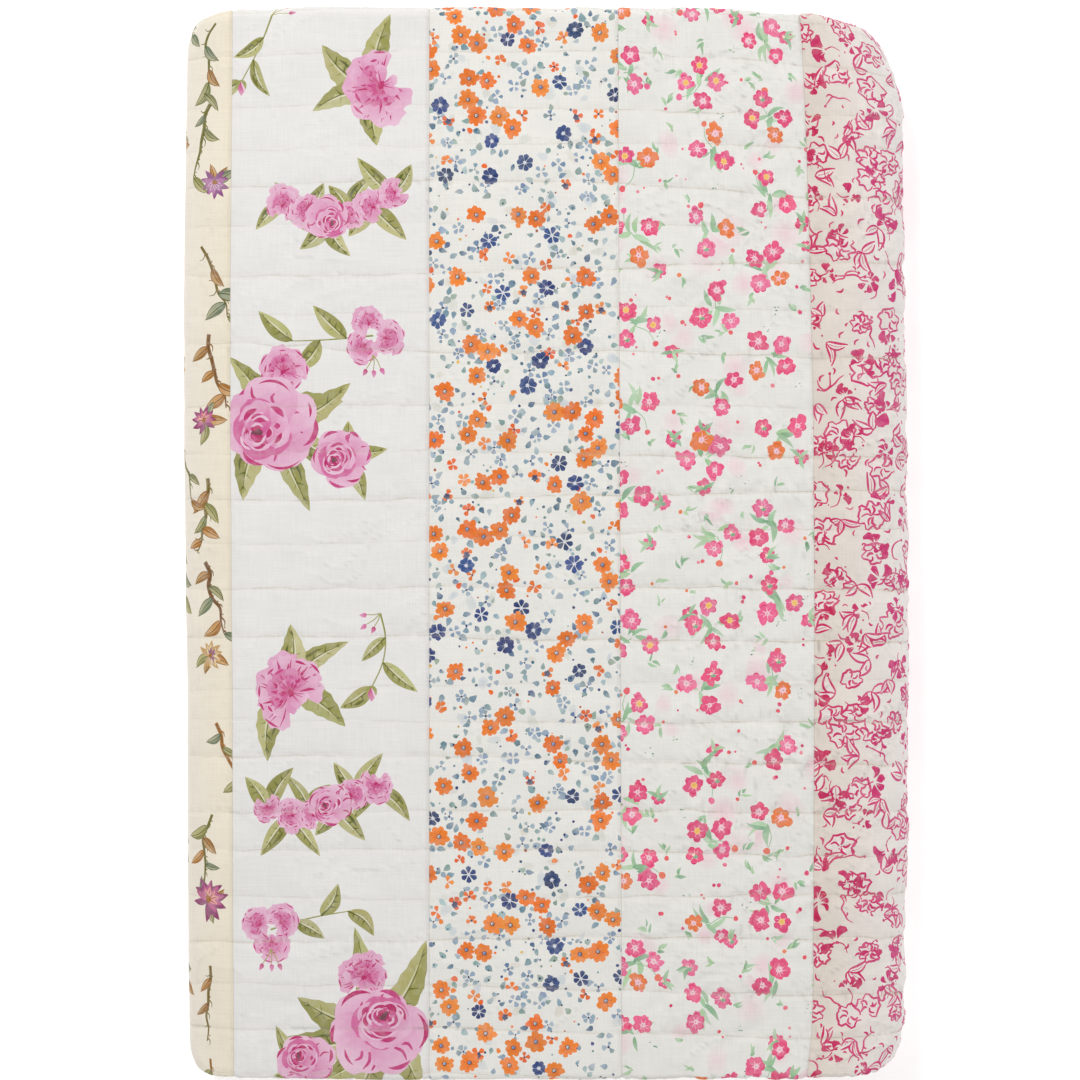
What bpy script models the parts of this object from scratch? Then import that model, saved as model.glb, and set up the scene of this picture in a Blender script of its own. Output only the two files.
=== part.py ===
"""Patchwork quilt, halved twice lengthwise and twice crosswise into a flat stack of sixteen layers.

Metres, +Z up. The stack lies flat with its long side along Y. The wide crosswise spine is at +X
and the wide lengthwise spine at +Y, so that the lips and the hems are at -X and -Y. The origin
is the middle of the footprint, on the resting face.
"""

import math

import bmesh
import bpy

# ---------------------------------------------------------------- driving sizes
STACK_WIDTH = 0.4500  # across the folded stack, X
STACK_LENGTH = 0.6630  # along the folded stack, Y
CLOTH_THICKNESS = 0.0030  # face cloth, thin cotton wadding and back cloth, quilted together
LAYER_PITCH = 0.0035  # from one layer of the quilt to the next
PACK_PITCH = 0.0141  # from one four-layer pack to the next
LIP_PRESS = 0.75  # how hard the crosswise lip is pressed flat: 0 leaves it round
LIP_PRESS_REACH = 0.016
CORNER_SHARE = 0.75  # 1 would make a full round corner, 0 leaves it square

HALF_X, HALF_Y = STACK_WIDTH / 2, STACK_LENGTH / 2

# How the quilt is folded. Each fold halves it twice, like a book: the outer leaf goes round a
# wide spine, turns back at the lip, and the inner leaf lies between.
#   pitch                     distance between leaves
#   lip_edge, spine_edge      outermost reach of the fold on either side
#   half                      half the thickness of what is being folded
#   outer_hem, inner_hem      how far each leaf's free hem stops inside the lip's reach
#   run_steps                 faces along each flat run
#   spine_steps, turn_steps   faces round the wide spine and round the two tight turns
FOLDS = {
    "lengthwise": dict(
        pitch=LAYER_PITCH, lip_edge=-HALF_Y, spine_edge=HALF_Y, half=CLOTH_THICKNESS / 2,
        outer_hem=0.0030, inner_hem=0.0055, run_steps=7, spine_steps=6, turn_steps=4,
    ),
    "crosswise": dict(
        pitch=PACK_PITCH, lip_edge=-HALF_X - LIP_PRESS * LIP_PRESS_REACH, spine_edge=HALF_X,
        half=1.5 * LAYER_PITCH + CLOTH_THICKNESS / 2,
        outer_hem=0.0060, inner_hem=0.0100, run_steps=7, spine_steps=8, turn_steps=5,
    ),
}

# How each crosswise pass lies under the top one: its middle's shift along Y, and how much
# shorter it is than the top pass.
PASSES = {
    # pass            shift    shorter
    "outer_lower": (-0.0008, 0.0060),
    "outer_upper": (0.0, 0.0),
    "inner_upper": (0.0010, 0.0036),
    "inner_lower": (-0.0012, 0.0048),
}

# The plan's corners as they lie: side of X, side of Y, how far the rounding reaches.
CORNERS = (
    # x_side, y_side, reach
    (+1, +1, 0.070),
    (+1, -1, 0.038),
    (-1, +1, 0.029),
    (-1, -1, 0.023),
)

# The plan's sides as they lie: how far each one stands back from the straight, by place along
# it. Places run along Y for the sides at +-X, and along X for the ends at +-Y.
SIDES = {
    # (place, set back)
    "spine": ((-0.33, 0.0034), (-0.25, 0.0019), (-0.15, 0.0006), (-0.06, 0.0), (0.06, 0.0012), (0.20, 0.0029), (0.33, 0.0049)),
    "lip": ((-0.33, 0.0038), (-0.20, 0.0026), (-0.10, 0.0024), (-0.03, 0.0012), (0.07, 0.0), (0.14, 0.0), (0.33, 0.0022)),
    "far_end": ((-0.225, 0.0042), (-0.180, 0.0014), (-0.150, 0.0), (-0.06, 0.0004), (0.12, 0.0017), (0.150, 0.0045), (0.225, 0.0058)),
    "near_end": ((-0.225, 0.0027), (-0.180, 0.0006), (-0.09, 0.0), (0.09, 0.0), (0.225, 0.0016)),
}
SIDE_FADE = 4  # how fast a side's set back fades towards the middle of the stack

SOFT_SWELL = 0.0016  # the top's slow rise and fall
NAME = "quilt"
COLOUR = (0.86, 0.80, 0.78, 1.0)  # off-white cotton with its prints, seen from afar


# ---------------------------------------------------------------- the fold as a path
def fold_path(pitch, lip_edge, spine_edge, half, outer_hem, inner_hem, **_):
    """The book fold as a row of runs and turns, in the order that the cloth takes them.

    side is the sense in which the face of the cloth lies off the path: up or outward (+1), or
    down or inward (-1)."""
    spine_radius, turn_radius = 1.5 * pitch, 0.5 * pitch
    spine_at = spine_edge - spine_radius - half
    lip_at = lip_edge + turn_radius + half
    quarter = math.pi / 2
    return (
        dict(kind="run", name="outer_lower", start=lip_edge + outer_hem, end=spine_at, height=-spine_radius, side=-1),
        dict(kind="turn", name="spine", centre=spine_at, height=0.0, radius=spine_radius, first=-quarter, last=quarter, side=1),
        dict(kind="run", name="outer_upper", start=spine_at, end=lip_at, height=spine_radius, side=1),
        dict(kind="turn", name="lip", centre=lip_at, height=pitch, radius=turn_radius, first=quarter, last=3 * quarter, side=1),
        dict(kind="run", name="inner_upper", start=lip_at, end=spine_at, height=turn_radius, side=-1),
        dict(kind="turn", name="core", centre=spine_at, height=0.0, radius=turn_radius, first=quarter, last=-quarter, side=-1),
        dict(kind="run", name="inner_lower", start=spine_at, end=lip_edge + inner_hem, height=-turn_radius, side=1),
    )


def length_of(part):
    if part["kind"] == "run":
        return abs(part["end"] - part["start"])
    return part["radius"] * abs(part["last"] - part["first"])


def crowded(share):
    """Spreads even steps so that they crowd towards both ends of a run, where corners are."""
    if share > 0.5:
        return 1 - crowded(1 - share)
    return 0.5 * (2 * share) ** 2.4


def stations(path, run_steps, spine_steps, turn_steps, **_):
    """Distances along the path at which the sheet has a row of vertices."""
    found, done = [0.0], 0.0
    for part in path:
        if part["kind"] == "run":
            shares = [crowded(k / run_steps) for k in range(1, run_steps + 1)]
        else:
            steps = spine_steps if part["name"] == "spine" else turn_steps
            shares = [k / steps for k in range(1, steps + 1)]
        found += [done + share * length_of(part) for share in shares]
        done += length_of(part)
    return found


def along(path, distance):
    """(position, height, direction in which the face lies, pass name, share of the pass)."""
    for part in path:
        if distance <= length_of(part) + 1e-7 or part is path[-1]:
            break
        distance -= length_of(part)
    share = min(max(distance / length_of(part), 0.0), 1.0)
    side = part["side"]
    if part["kind"] == "run":
        return part["start"] + share * (part["end"] - part["start"]), part["height"], (0.0, side), part["name"], share
    angle = part["first"] + share * (part["last"] - part["first"])
    out = (math.cos(angle), math.sin(angle))
    return (
        part["centre"] + part["radius"] * out[0],
        part["height"] + part["radius"] * out[1],
        (out[0] * side, out[1] * side),
        part["name"],
        share,
    )


TURNS_JOIN = {
    "spine": ("outer_lower", "outer_upper"),
    "lip": ("outer_upper", "inner_upper"),
    "core": ("inner_upper", "inner_lower"),
}


def smooth(value):
    value = min(max(value, 0.0), 1.0)
    return value * value * (3 - 2 * value)


def lie_of(name, share):
    """A pass's shift and shortening. A turn passes smoothly from one pass to the next."""
    if name in PASSES:
        return PASSES[name]
    first, last = (PASSES[joined] for joined in TURNS_JOIN[name])
    return tuple(a + (b - a) * smooth(share) for a, b in zip(first, last))


# ---------------------------------------------------------------- how the stack has settled
def set_back(side, place):
    rows = SIDES[side]
    if place <= rows[0][0]:
        return rows[0][1]
    for (a, back_a), (b, back_b) in zip(rows, rows[1:]):
        if place <= b:
            return back_a + (back_b - back_a) * smooth((place - a) / (b - a))
    return rows[-1][1]


def settle(x, y, z):
    """Presses the lip, rounds the plan's corners, sets back its sides and swells its top."""
    depth = x - FOLDS["crosswise"]["lip_edge"]
    x = -HALF_X + depth - LIP_PRESS * LIP_PRESS_REACH * (1 - math.exp(-depth / LIP_PRESS_REACH))
    for x_side, y_side, reach in CORNERS:
        across, up = (x * x_side - HALF_X + reach) / reach, (y * y_side - HALF_Y + reach) / reach
        if across > 0 and up > 0:
            x = x_side * (HALF_X - reach + reach * across * math.sqrt(1 - CORNER_SHARE * min(up, 1.0) ** 2 / 2))
            y = y_side * (HALF_Y - reach + reach * up * math.sqrt(1 - CORNER_SHARE * min(across, 1.0) ** 2 / 2))
            break
    back_x = -set_back("spine", y) if x > 0 else set_back("lip", y)
    back_y = -set_back("far_end", x) if y > 0 else set_back("near_end", x)
    x, y = x + back_x * abs(x / HALF_X) ** SIDE_FADE, y + back_y * abs(y / HALF_Y) ** SIDE_FADE
    slow = math.sin(9.0 * x + 1.0) * math.cos(7.0 * y - 0.6) - 0.8 * smooth(abs(y) / HALF_Y * 2.2 - 1.2)
    return x, y, z * (1 + SOFT_SWELL / (4 * PACK_PITCH) * slow)


# ---------------------------------------------------------------- modelling
def clear_scene():
    for thing in list(bpy.data.objects):
        bpy.data.objects.remove(thing, do_unlink=True)


def cloth_material():
    material = bpy.data.materials.new("printed_cotton")
    material.use_nodes = True
    shader = material.node_tree.nodes["Principled BSDF"]
    shader.inputs["Base Color"].default_value = COLOUR
    shader.inputs["Roughness"].default_value = 0.9
    shader.inputs["Metallic"].default_value = 0.0
    return material


def folded_lengthwise(long_path, cross_path):
    """The quilt folded lengthwise and still flat across, with its thickness.

    X holds the distance across the flat quilt, which the crosswise fold takes up next."""
    rows = stations(long_path, **FOLDS["lengthwise"])
    columns = stations(cross_path, **FOLDS["crosswise"])
    mesh = bpy.data.meshes.new(NAME)
    shape = bmesh.new()
    bmesh.ops.create_grid(shape, x_segments=len(columns) - 1, y_segments=len(rows) - 1, size=0.5)
    shape.to_mesh(mesh)
    shape.free()
    for vertex in mesh.vertices:
        column = round((vertex.co.x + 0.5) * (len(columns) - 1))
        row = round((vertex.co.y + 0.5) * (len(rows) - 1))
        y, height = along(long_path, rows[row])[:2]
        vertex.co = (columns[column], y, height)
    sheet = bpy.data.objects.new(NAME, mesh)
    bpy.context.scene.collection.objects.link(sheet)
    thick = sheet.modifiers.new("cloth thickness", "SOLIDIFY")
    thick.thickness = CLOTH_THICKNESS
    thick.offset = 0.0
    thick.use_even_offset = True
    bpy.context.view_layer.update()
    solid = bpy.data.meshes.new_from_object(sheet.evaluated_get(bpy.context.evaluated_depsgraph_get()))
    bpy.data.objects.remove(sheet)
    bpy.data.meshes.remove(mesh)
    return solid


def fold_crosswise(solid, cross_path):
    """Takes the lengthwise pack round the crosswise fold, and lets it settle."""
    lift = 1.5 * PACK_PITCH + FOLDS["crosswise"]["half"]
    for vertex in solid.vertices:
        distance, y, offset = vertex.co
        at, height, out, name, share = along(cross_path, distance)
        shift, shorter = lie_of(name, share)
        y = y * (1 - shorter / STACK_LENGTH) + shift
        vertex.co = settle(at + offset * out[0], y, height + offset * out[1] + lift)


def face_out(solid):
    """Turns every face outward, whichever way round the grid was built."""
    shape = bmesh.new()
    shape.from_mesh(solid)
    bmesh.ops.recalc_face_normals(shape, faces=shape.faces)
    if shape.calc_volume(signed=True) < 0:
        bmesh.ops.reverse_faces(shape, faces=shape.faces)
    shape.to_mesh(solid)
    shape.free()


def main():
    clear_scene()
    long_path = fold_path(**FOLDS["lengthwise"])
    cross_path = fold_path(**FOLDS["crosswise"])
    solid = folded_lengthwise(long_path, cross_path)
    fold_crosswise(solid, cross_path)
    face_out(solid)
    solid.name = NAME
    solid.materials.clear()
    solid.materials.append(cloth_material())
    solid.shade_smooth()
    solid.set_sharp_from_angle(angle=math.radians(50))

    group = bpy.data.collections.new("patchwork_quilt")
    bpy.context.scene.collection.children.link(group)
    quilt = bpy.data.objects.new(NAME, solid)
    group.objects.link(quilt)
    # The origin is the middle of the footprint, on the resting face.
    low = [min(v.co[k] for v in solid.vertices) for k in range(3)]
    high = [max(v.co[k] for v in solid.vertices) for k in range(3)]
    middle = (-(low[0] + high[0]) / 2, -(low[1] + high[1]) / 2, -low[2])
    quilt.location = middle
    print("quilt laid out flat: %.3f x %.3f m" % tuple(sum(map(length_of, path)) for path in (cross_path, long_path)))
    print("stack: %.4f x %.4f x %.4f m, moved by %.5f %.5f %.5f" % (*(h - l for l, h in zip(low, high)), *middle))


main()
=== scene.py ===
"""Looks of the folded patchwork quilt: printed strips, quilting rows, hems, floor, light and camera.

Every print is drawn flat, in millimetres, as leaves, petals and strokes that share one
triangulation with the cloth, and is then carried round the quilt's folds.
"""

import math
import random

import bpy
import numpy as np
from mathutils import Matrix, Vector
from mathutils.geometry import delaunay_2d_cdt


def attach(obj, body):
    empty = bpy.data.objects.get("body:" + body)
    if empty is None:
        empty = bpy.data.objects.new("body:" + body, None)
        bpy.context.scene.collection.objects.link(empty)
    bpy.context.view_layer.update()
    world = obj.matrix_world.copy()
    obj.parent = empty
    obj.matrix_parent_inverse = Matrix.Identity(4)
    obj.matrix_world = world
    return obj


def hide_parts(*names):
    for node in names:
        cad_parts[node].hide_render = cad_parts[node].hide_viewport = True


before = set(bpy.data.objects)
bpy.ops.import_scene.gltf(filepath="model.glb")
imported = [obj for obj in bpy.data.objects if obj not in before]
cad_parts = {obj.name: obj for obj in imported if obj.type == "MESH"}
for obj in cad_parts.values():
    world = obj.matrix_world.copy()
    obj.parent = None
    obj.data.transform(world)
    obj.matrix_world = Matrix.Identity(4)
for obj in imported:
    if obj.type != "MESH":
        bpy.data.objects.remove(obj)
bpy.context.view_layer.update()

# =============================================================== the fold, as the solid has it
STACK_WIDTH, STACK_LENGTH = 0.4500, 0.6630
CLOTH = 0.0030
LAYER_PITCH, PACK_PITCH = 0.0035, 0.0141
LIP_PRESS, LIP_PRESS_REACH = 0.75, 0.016
CORNER_SHARE = 0.75
HALF_X, HALF_Y = STACK_WIDTH / 2, STACK_LENGTH / 2
PACK_HALF = 1.5 * LAYER_PITCH + CLOTH / 2
LIFT = 1.5 * PACK_PITCH + PACK_HALF
MOVED = (0.00005, 0.00021, 0.0)  # the solid is centred on its own footprint by this much

CORNERS = ((+1, +1, 0.070), (+1, -1, 0.038), (-1, +1, 0.029), (-1, -1, 0.023))
SIDES = {
    "spine": ((-0.33, 0.0034), (-0.25, 0.0019), (-0.15, 0.0006), (-0.06, 0.0), (0.06, 0.0012), (0.20, 0.0029), (0.33, 0.0049)),
    "lip": ((-0.33, 0.0038), (-0.20, 0.0026), (-0.10, 0.0024), (-0.03, 0.0012), (0.07, 0.0), (0.14, 0.0), (0.33, 0.0022)),
    "far_end": ((-0.225, 0.0042), (-0.180, 0.0014), (-0.150, 0.0), (-0.06, 0.0004), (0.12, 0.0017), (0.150, 0.0045), (0.225, 0.0058)),
    "near_end": ((-0.225, 0.0027), (-0.180, 0.0006), (-0.09, 0.0), (0.09, 0.0), (0.225, 0.0016)),
}
SIDE_FADE = 4
SOFT_SWELL = 0.0016
PASSES = {"outer_lower": (-0.0008, 0.0060), "outer_upper": (0.0, 0.0), "inner_upper": (0.0010, 0.0036), "inner_lower": (-0.0012, 0.0048)}
TURNS_JOIN = {"spine": ("outer_lower", "outer_upper"), "lip": ("outer_upper", "inner_upper"), "core": ("inner_upper", "inner_lower")}


def fold_path(pitch, lip_edge, spine_edge, half, outer_hem, inner_hem):
    wide, tight, q = 1.5 * pitch, 0.5 * pitch, math.pi / 2
    spine_at, lip_at = spine_edge - wide - half, lip_edge + tight + half
    parts = [
        dict(name="outer_lower", start=lip_edge + outer_hem, end=spine_at, height=-wide, side=-1),
        dict(name="spine", centre=spine_at, height=0.0, radius=wide, first=-q, last=q, side=1),
        dict(name="outer_upper", start=spine_at, end=lip_at, height=wide, side=1),
        dict(name="lip", centre=lip_at, height=pitch, radius=tight, first=q, last=3 * q, side=1),
        dict(name="inner_upper", start=lip_at, end=spine_at, height=tight, side=-1),
        dict(name="core", centre=spine_at, height=0.0, radius=tight, first=q, last=-q, side=-1),
        dict(name="inner_lower", start=spine_at, end=lip_edge + inner_hem, height=-tight, side=1),
    ]
    done = 0.0
    for part in parts:
        part["from"] = done
        part["long"] = part["radius"] * abs(part["last"] - part["first"]) if "radius" in part else abs(part["end"] - part["start"])
        done += part["long"]
    return parts


LONG = fold_path(LAYER_PITCH, -HALF_Y, HALF_Y, CLOTH / 2, 0.0030, 0.0055)
CROSS = fold_path(PACK_PITCH, -HALF_X - LIP_PRESS * LIP_PRESS_REACH, HALF_X, PACK_HALF, 0.0060, 0.0100)
FLAT_ACROSS = CROSS[-1]["from"] + CROSS[-1]["long"]
FLAT_ALONG = LONG[-1]["from"] + LONG[-1]["long"]


def smooth(v):
    v = np.clip(v, 0.0, 1.0)
    return v * v * (3 - 2 * v)


def along(path, distance):
    """Arrays of (position, height, face direction, shift, shorter) at distances on the path."""
    n = len(distance)
    at, height, ox, oz, shift, shorter = (np.zeros(n) for _ in range(6))
    for k, part in enumerate(path):
        low = -1e9 if k == 0 else part["from"]
        high = 1e9 if k == len(path) - 1 else part["from"] + part["long"]
        m = (distance >= low) & (distance < high)
        if not m.any():
            continue
        share = (distance[m] - part["from"]) / part["long"]
        if "radius" in part:
            angle = part["first"] + share * (part["last"] - part["first"])
            at[m] = part["centre"] + part["radius"] * np.cos(angle)
            height[m] = part["height"] + part["radius"] * np.sin(angle)
            ox[m], oz[m] = np.cos(angle) * part["side"], np.sin(angle) * part["side"]
            (s0, l0), (s1, l1) = (PASSES[j] for j in TURNS_JOIN[part["name"]])
            e = smooth(share)
            shift[m], shorter[m] = s0 + (s1 - s0) * e, l0 + (l1 - l0) * e
        else:
            at[m] = part["start"] + share * (part["end"] - part["start"])
            height[m], oz[m] = part["height"], part["side"]
            shift[m], shorter[m] = PASSES[part["name"]]
    return at, height, ox, oz, shift, shorter


def set_back(side, place):
    rows = SIDES[side]
    out = np.full(len(place), rows[0][1])
    for (a, back_a), (b, back_b) in zip(rows, rows[1:]):
        m = (place > a) & (place <= b)
        out[m] = back_a + (back_b - back_a) * smooth((place[m] - a) / (b - a))
    out[place > rows[-1][0]] = rows[-1][1]
    return out


def settle(x, y, z):
    depth = x + HALF_X + LIP_PRESS * LIP_PRESS_REACH
    x = -HALF_X + depth - LIP_PRESS * LIP_PRESS_REACH * (1 - np.exp(-depth / LIP_PRESS_REACH))
    x, y = x.copy(), y.copy()
    free = np.ones(len(x), bool)
    for sx, sy, reach in CORNERS:
        across, up = (x * sx - HALF_X + reach) / reach, (y * sy - HALF_Y + reach) / reach
        m = (across > 0) & (up > 0) & free
        free &= ~m
        ca, cu = across[m], up[m]
        x[m] = sx * (HALF_X - reach + reach * ca * np.sqrt(1 - CORNER_SHARE * np.minimum(cu, 1.0) ** 2 / 2))
        y[m] = sy * (HALF_Y - reach + reach * cu * np.sqrt(1 - CORNER_SHARE * np.minimum(ca, 1.0) ** 2 / 2))
    back_x = np.where(x > 0, -set_back("spine", y), set_back("lip", y))
    back_y = np.where(y > 0, -set_back("far_end", x), set_back("near_end", x))
    x, y = x + back_x * np.abs(x / HALF_X) ** SIDE_FADE, y + back_y * np.abs(y / HALF_Y) ** SIDE_FADE
    slow = np.sin(9.0 * x + 1.0) * np.cos(7.0 * y - 0.6) - 0.8 * smooth(np.abs(y) / HALF_Y * 2.2 - 1.2)
    return x, y, z * (1 + SOFT_SWELL / (4 * PACK_PITCH) * slow)


def fold(a, b, n):
    """Where the flat quilt's point (a across, b along, n out of the cloth) lies, folded."""
    y, w, oy, ow, _, _ = along(LONG, b)
    y, w = y + n * oy, w + n * ow
    at, height, ox, oz, shift, shorter = along(CROSS, a)
    y = y * (1 - shorter / STACK_LENGTH) + shift
    x, y, z = settle(at + w * ox, y, height + w * oz + LIFT)
    return np.stack([x + MOVED[0], y + MOVED[1], z], axis=1)


# --------------------------------------------------------------- print plan, in millimetres
# X and Y are millimetres on the top's face, from the stack's middle. Beyond the flat top they
# run on round the folds at the face's own length.
PX = 0.617  # millimetres on the top face to a pixel of the photograph
SPINE_X, LIP_X = CROSS[2]["start"] * 1e3, CROSS[2]["end"] * 1e3
SPINE_Y, LIP_Y = LONG[2]["start"] * 1e3, LONG[2]["end"] * 1e3


def px(x, y):
    return (x - 547) * PX, (543 - y) * PX


def unrolled(value, spine, lip, pitch, half):
    """Face millimetres to mid-cloth millimetres: the face's way round a fold is longer."""
    wide, tight = 1.5 * pitch * 1e3, 0.5 * pitch * 1e3
    half *= 1e3
    turn_out, turn_in = math.pi * (wide + half), math.pi * wide
    lip_out, lip_in = math.pi * (tight + half), math.pi * tight
    over = value - spine
    out = np.where(over > 0, spine + np.where(over < turn_out, over * turn_in / turn_out, over - turn_out + turn_in), value)
    under = lip - value
    return np.where(under > 0, lip - np.where(under < lip_out, under * lip_in / lip_out, under - lip_out + lip_in), out)


SEAM_LEAN = (  # how far the seam beside the dense red print leans left, by height up the stack
    (-331, 4.0), (-306, 1.2), (-280, 0.4), (0, 0.3), (75, 0.6), (182, 2.6), (248, 4.4), (307, 6.2), (345, 9.0))


def lean(X, Y):
    ys, by = zip(*SEAM_LEAN)
    amount = np.interp(Y, ys, by)
    tilt = 1.2 * np.clip(Y / 331, -1, 1)
    return (-amount * smooth((X - 40) / 126) - tilt * smooth(1 - np.abs(X - 46) / 118)) * smooth((410 - X) / 120)


def to_flat(X, Y):
    Xw = X + lean(X, Y)
    u = unrolled(Xw, SPINE_X, LIP_X, PACK_PITCH, PACK_HALF)
    v = unrolled(Y, SPINE_Y, LIP_Y, LAYER_PITCH, CLOTH / 2)
    return CROSS[2]["from"] + (SPINE_X - u) * 1e-3, LONG[2]["from"] + (SPINE_Y - v) * 1e-3


# =============================================================== relief of the cloth
def hashed(ix, iy, seed):
    h = (ix.astype(np.int64) * 374761393 + iy.astype(np.int64) * 668265263 + seed * 974634777) & 0xFFFFFFFF
    h = ((h ^ (h >> 13)) * 1274126177) & 0xFFFFFFFF
    return ((h ^ (h >> 16)) & 0xFFFFFF) / float(0xFFFFFF)


def noise(x, y, seed):
    """Smooth noise from -1 to 1."""
    ix, iy = np.floor(x), np.floor(y)
    fx, fy = x - ix, y - iy
    fx, fy = fx * fx * fx * (fx * (fx * 6 - 15) + 10), fy * fy * fy * (fy * (fy * 6 - 15) + 10)
    low = hashed(ix, iy, seed) * (1 - fx) + hashed(ix + 1, iy, seed) * fx
    high = hashed(ix, iy + 1, seed) * (1 - fx) + hashed(ix + 1, iy + 1, seed) * fx
    return (low * (1 - fy) + high * fy) * 2 - 1


# Quilting rows: height at the left, middle, right-middle and right of the stack, and how deep
# the row pulls on the left and on the right.
ROWS_AT = (235, 430, 620, 810)
ROWS = (
    (54, 51, 50, 61, 0.5, 0.9),
    (106, 104, 110, 113, 0.35, 0.9),
    (150, 146, 143, 146, 0.3, 0.8),
    (186, 181, 183, 197, 0.7, 1.0),
    (226, 222, 224, 228, 0.4, 0.5),
    (276, 274, 268, 262, 0.7, 1.1),
    (316, 312, 306, 310, 0.25, 0.5),
    (343, 353, 352, 358, 0.8, 1.1),
    (408, 405, 404, 409, 0.6, 0.5),
    (455, 450, 455, 458, 0.4, 1.2),
    (500, 500, 496, 491, 0.8, 1.1),
    (545, 541, 533, 529, 0.35, 0.9),
    (589, 588, 587, 590, 0.8, 1.2),
    (637, 637, 641, 642, 0.9, 1.2),
    (690, 686, 684, 681, 0.3, 0.4),
    (719, 722, 724, 722, 0.3, 1.1),
    (757, 755, 762, 765, 0.9, 1.1),
    (813, 812, 810, 813, 0.7, 1.2),
    (850, 848, 852, 857, 0.7, 1.0),
    (897, 900, 897, 895, 0.4, 1.0),
    (943, 941, 937, 939, 0.8, 1.1),
    (985, 986, 992, 996, 0.6, 1.0),
    (1030, 1028, 1034, 1040, 0.4, 1.0),
)
ROW_STEP = 28.0


def row_lines(X, Y):
    """(count of rows passed, distance between the rows here, row depth) for face points."""
    xs = [(x - 547) * PX for x in ROWS_AT]
    Xc = np.clip(X, xs[0] - 40, xs[-1] + 60)
    lines = []
    for k, row in enumerate(ROWS):
        y = np.interp(Xc, xs, [(543 - r) * PX for r in row[:4]])
        lines.append(y + 0.9 * noise(X / 21 + 3 * k, X * 0 + k, 31) + 0.35 * noise(X / 6.5, X * 0 + k, 32))
    lines = np.array(lines[::-1])  # rising
    depths = np.array([[r[4], r[5]] for r in ROWS[::-1]])
    count, step, depth = np.zeros(len(X)), np.full(len(X), ROW_STEP), np.zeros(len(X))
    share = smooth((X - xs[1]) / (xs[2] - xs[1]) * 0.8)
    last = len(lines) - 1
    below, above = Y < lines[0], Y >= lines[last]
    count[below] = ((Y - lines[0]) / ROW_STEP)[below]
    count[above] = last + ((Y - lines[last]) / ROW_STEP)[above]
    rowdepth = depths[:, 0][:, None] * (1 - share) + depths[:, 1][:, None] * share
    for k in range(last):
        m = (Y >= lines[k]) & (Y < lines[k + 1])
        gap = (lines[k + 1] - lines[k])[m]
        f = (Y - lines[k])[m] / gap
        count[m], step[m] = k + f, gap
        depth[m] = np.where(f < 0.5, rowdepth[k][m], rowdepth[k + 1][m])
    depth[below | above] = 0.7
    return count, step, depth


SEAMS = (-196.5, -72.8, 45.0, 165.3)
STRIP_WIDTH = 119.5

# Soft creases, listed one by one: from, to, width and depth in millimetres (below zero is a ridge).
CREASES = (
    (px(628, 905), px(700, 962), 3.5, 0.55), (px(640, 1015), px(735, 965), 3.2, 0.50),
    (px(700, 1068), px(788, 1010), 3.6, 0.55), (px(735, 900), px(812, 925), 3.0, 0.45),
    (px(640, 968), px(690, 1040), 3.0, -0.40), (px(760, 955), px(800, 1000), 2.6, 0.40),
    (px(650, 655), px(735, 690), 2.6, 0.35), (px(700, 560), px(760, 540), 2.4, 0.30),
    (px(820, 840), px(880, 870), 3.0, 0.50), (px(822, 700), px(868, 676), 2.8, 0.40),
    (px(822, 250), px(880, 222), 2.8, 0.40), (px(825, 120), px(885, 160), 3.0, 0.45),
    (px(640, 90), px(720, 70), 2.6, 0.35), (px(740, 210), px(800, 172), 2.6, 0.35),
    (px(240, 820), px(300, 800), 3.4, 0.25), (px(250, 1000), px(330, 1016), 3.4, 0.30),
    (px(190, 600), px(228, 575), 3.0, 0.30), (px(190, 300), px(228, 330), 3.0, 0.30),
    (px(300, 230), px(392, 255), 3.4, 0.22), (px(440, 900), px(520, 922), 3.0, 0.25),
)
# Faint presses along the cloth, left by folding: place across in pixels, from and to in y.
PRESSES = ((288, 560, 1075, 0.22), (405, 20, 330, 0.18), (674, 40, 520, 0.25), (702, 560, 1070, 0.25), (770, 60, 860, 0.22))


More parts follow.
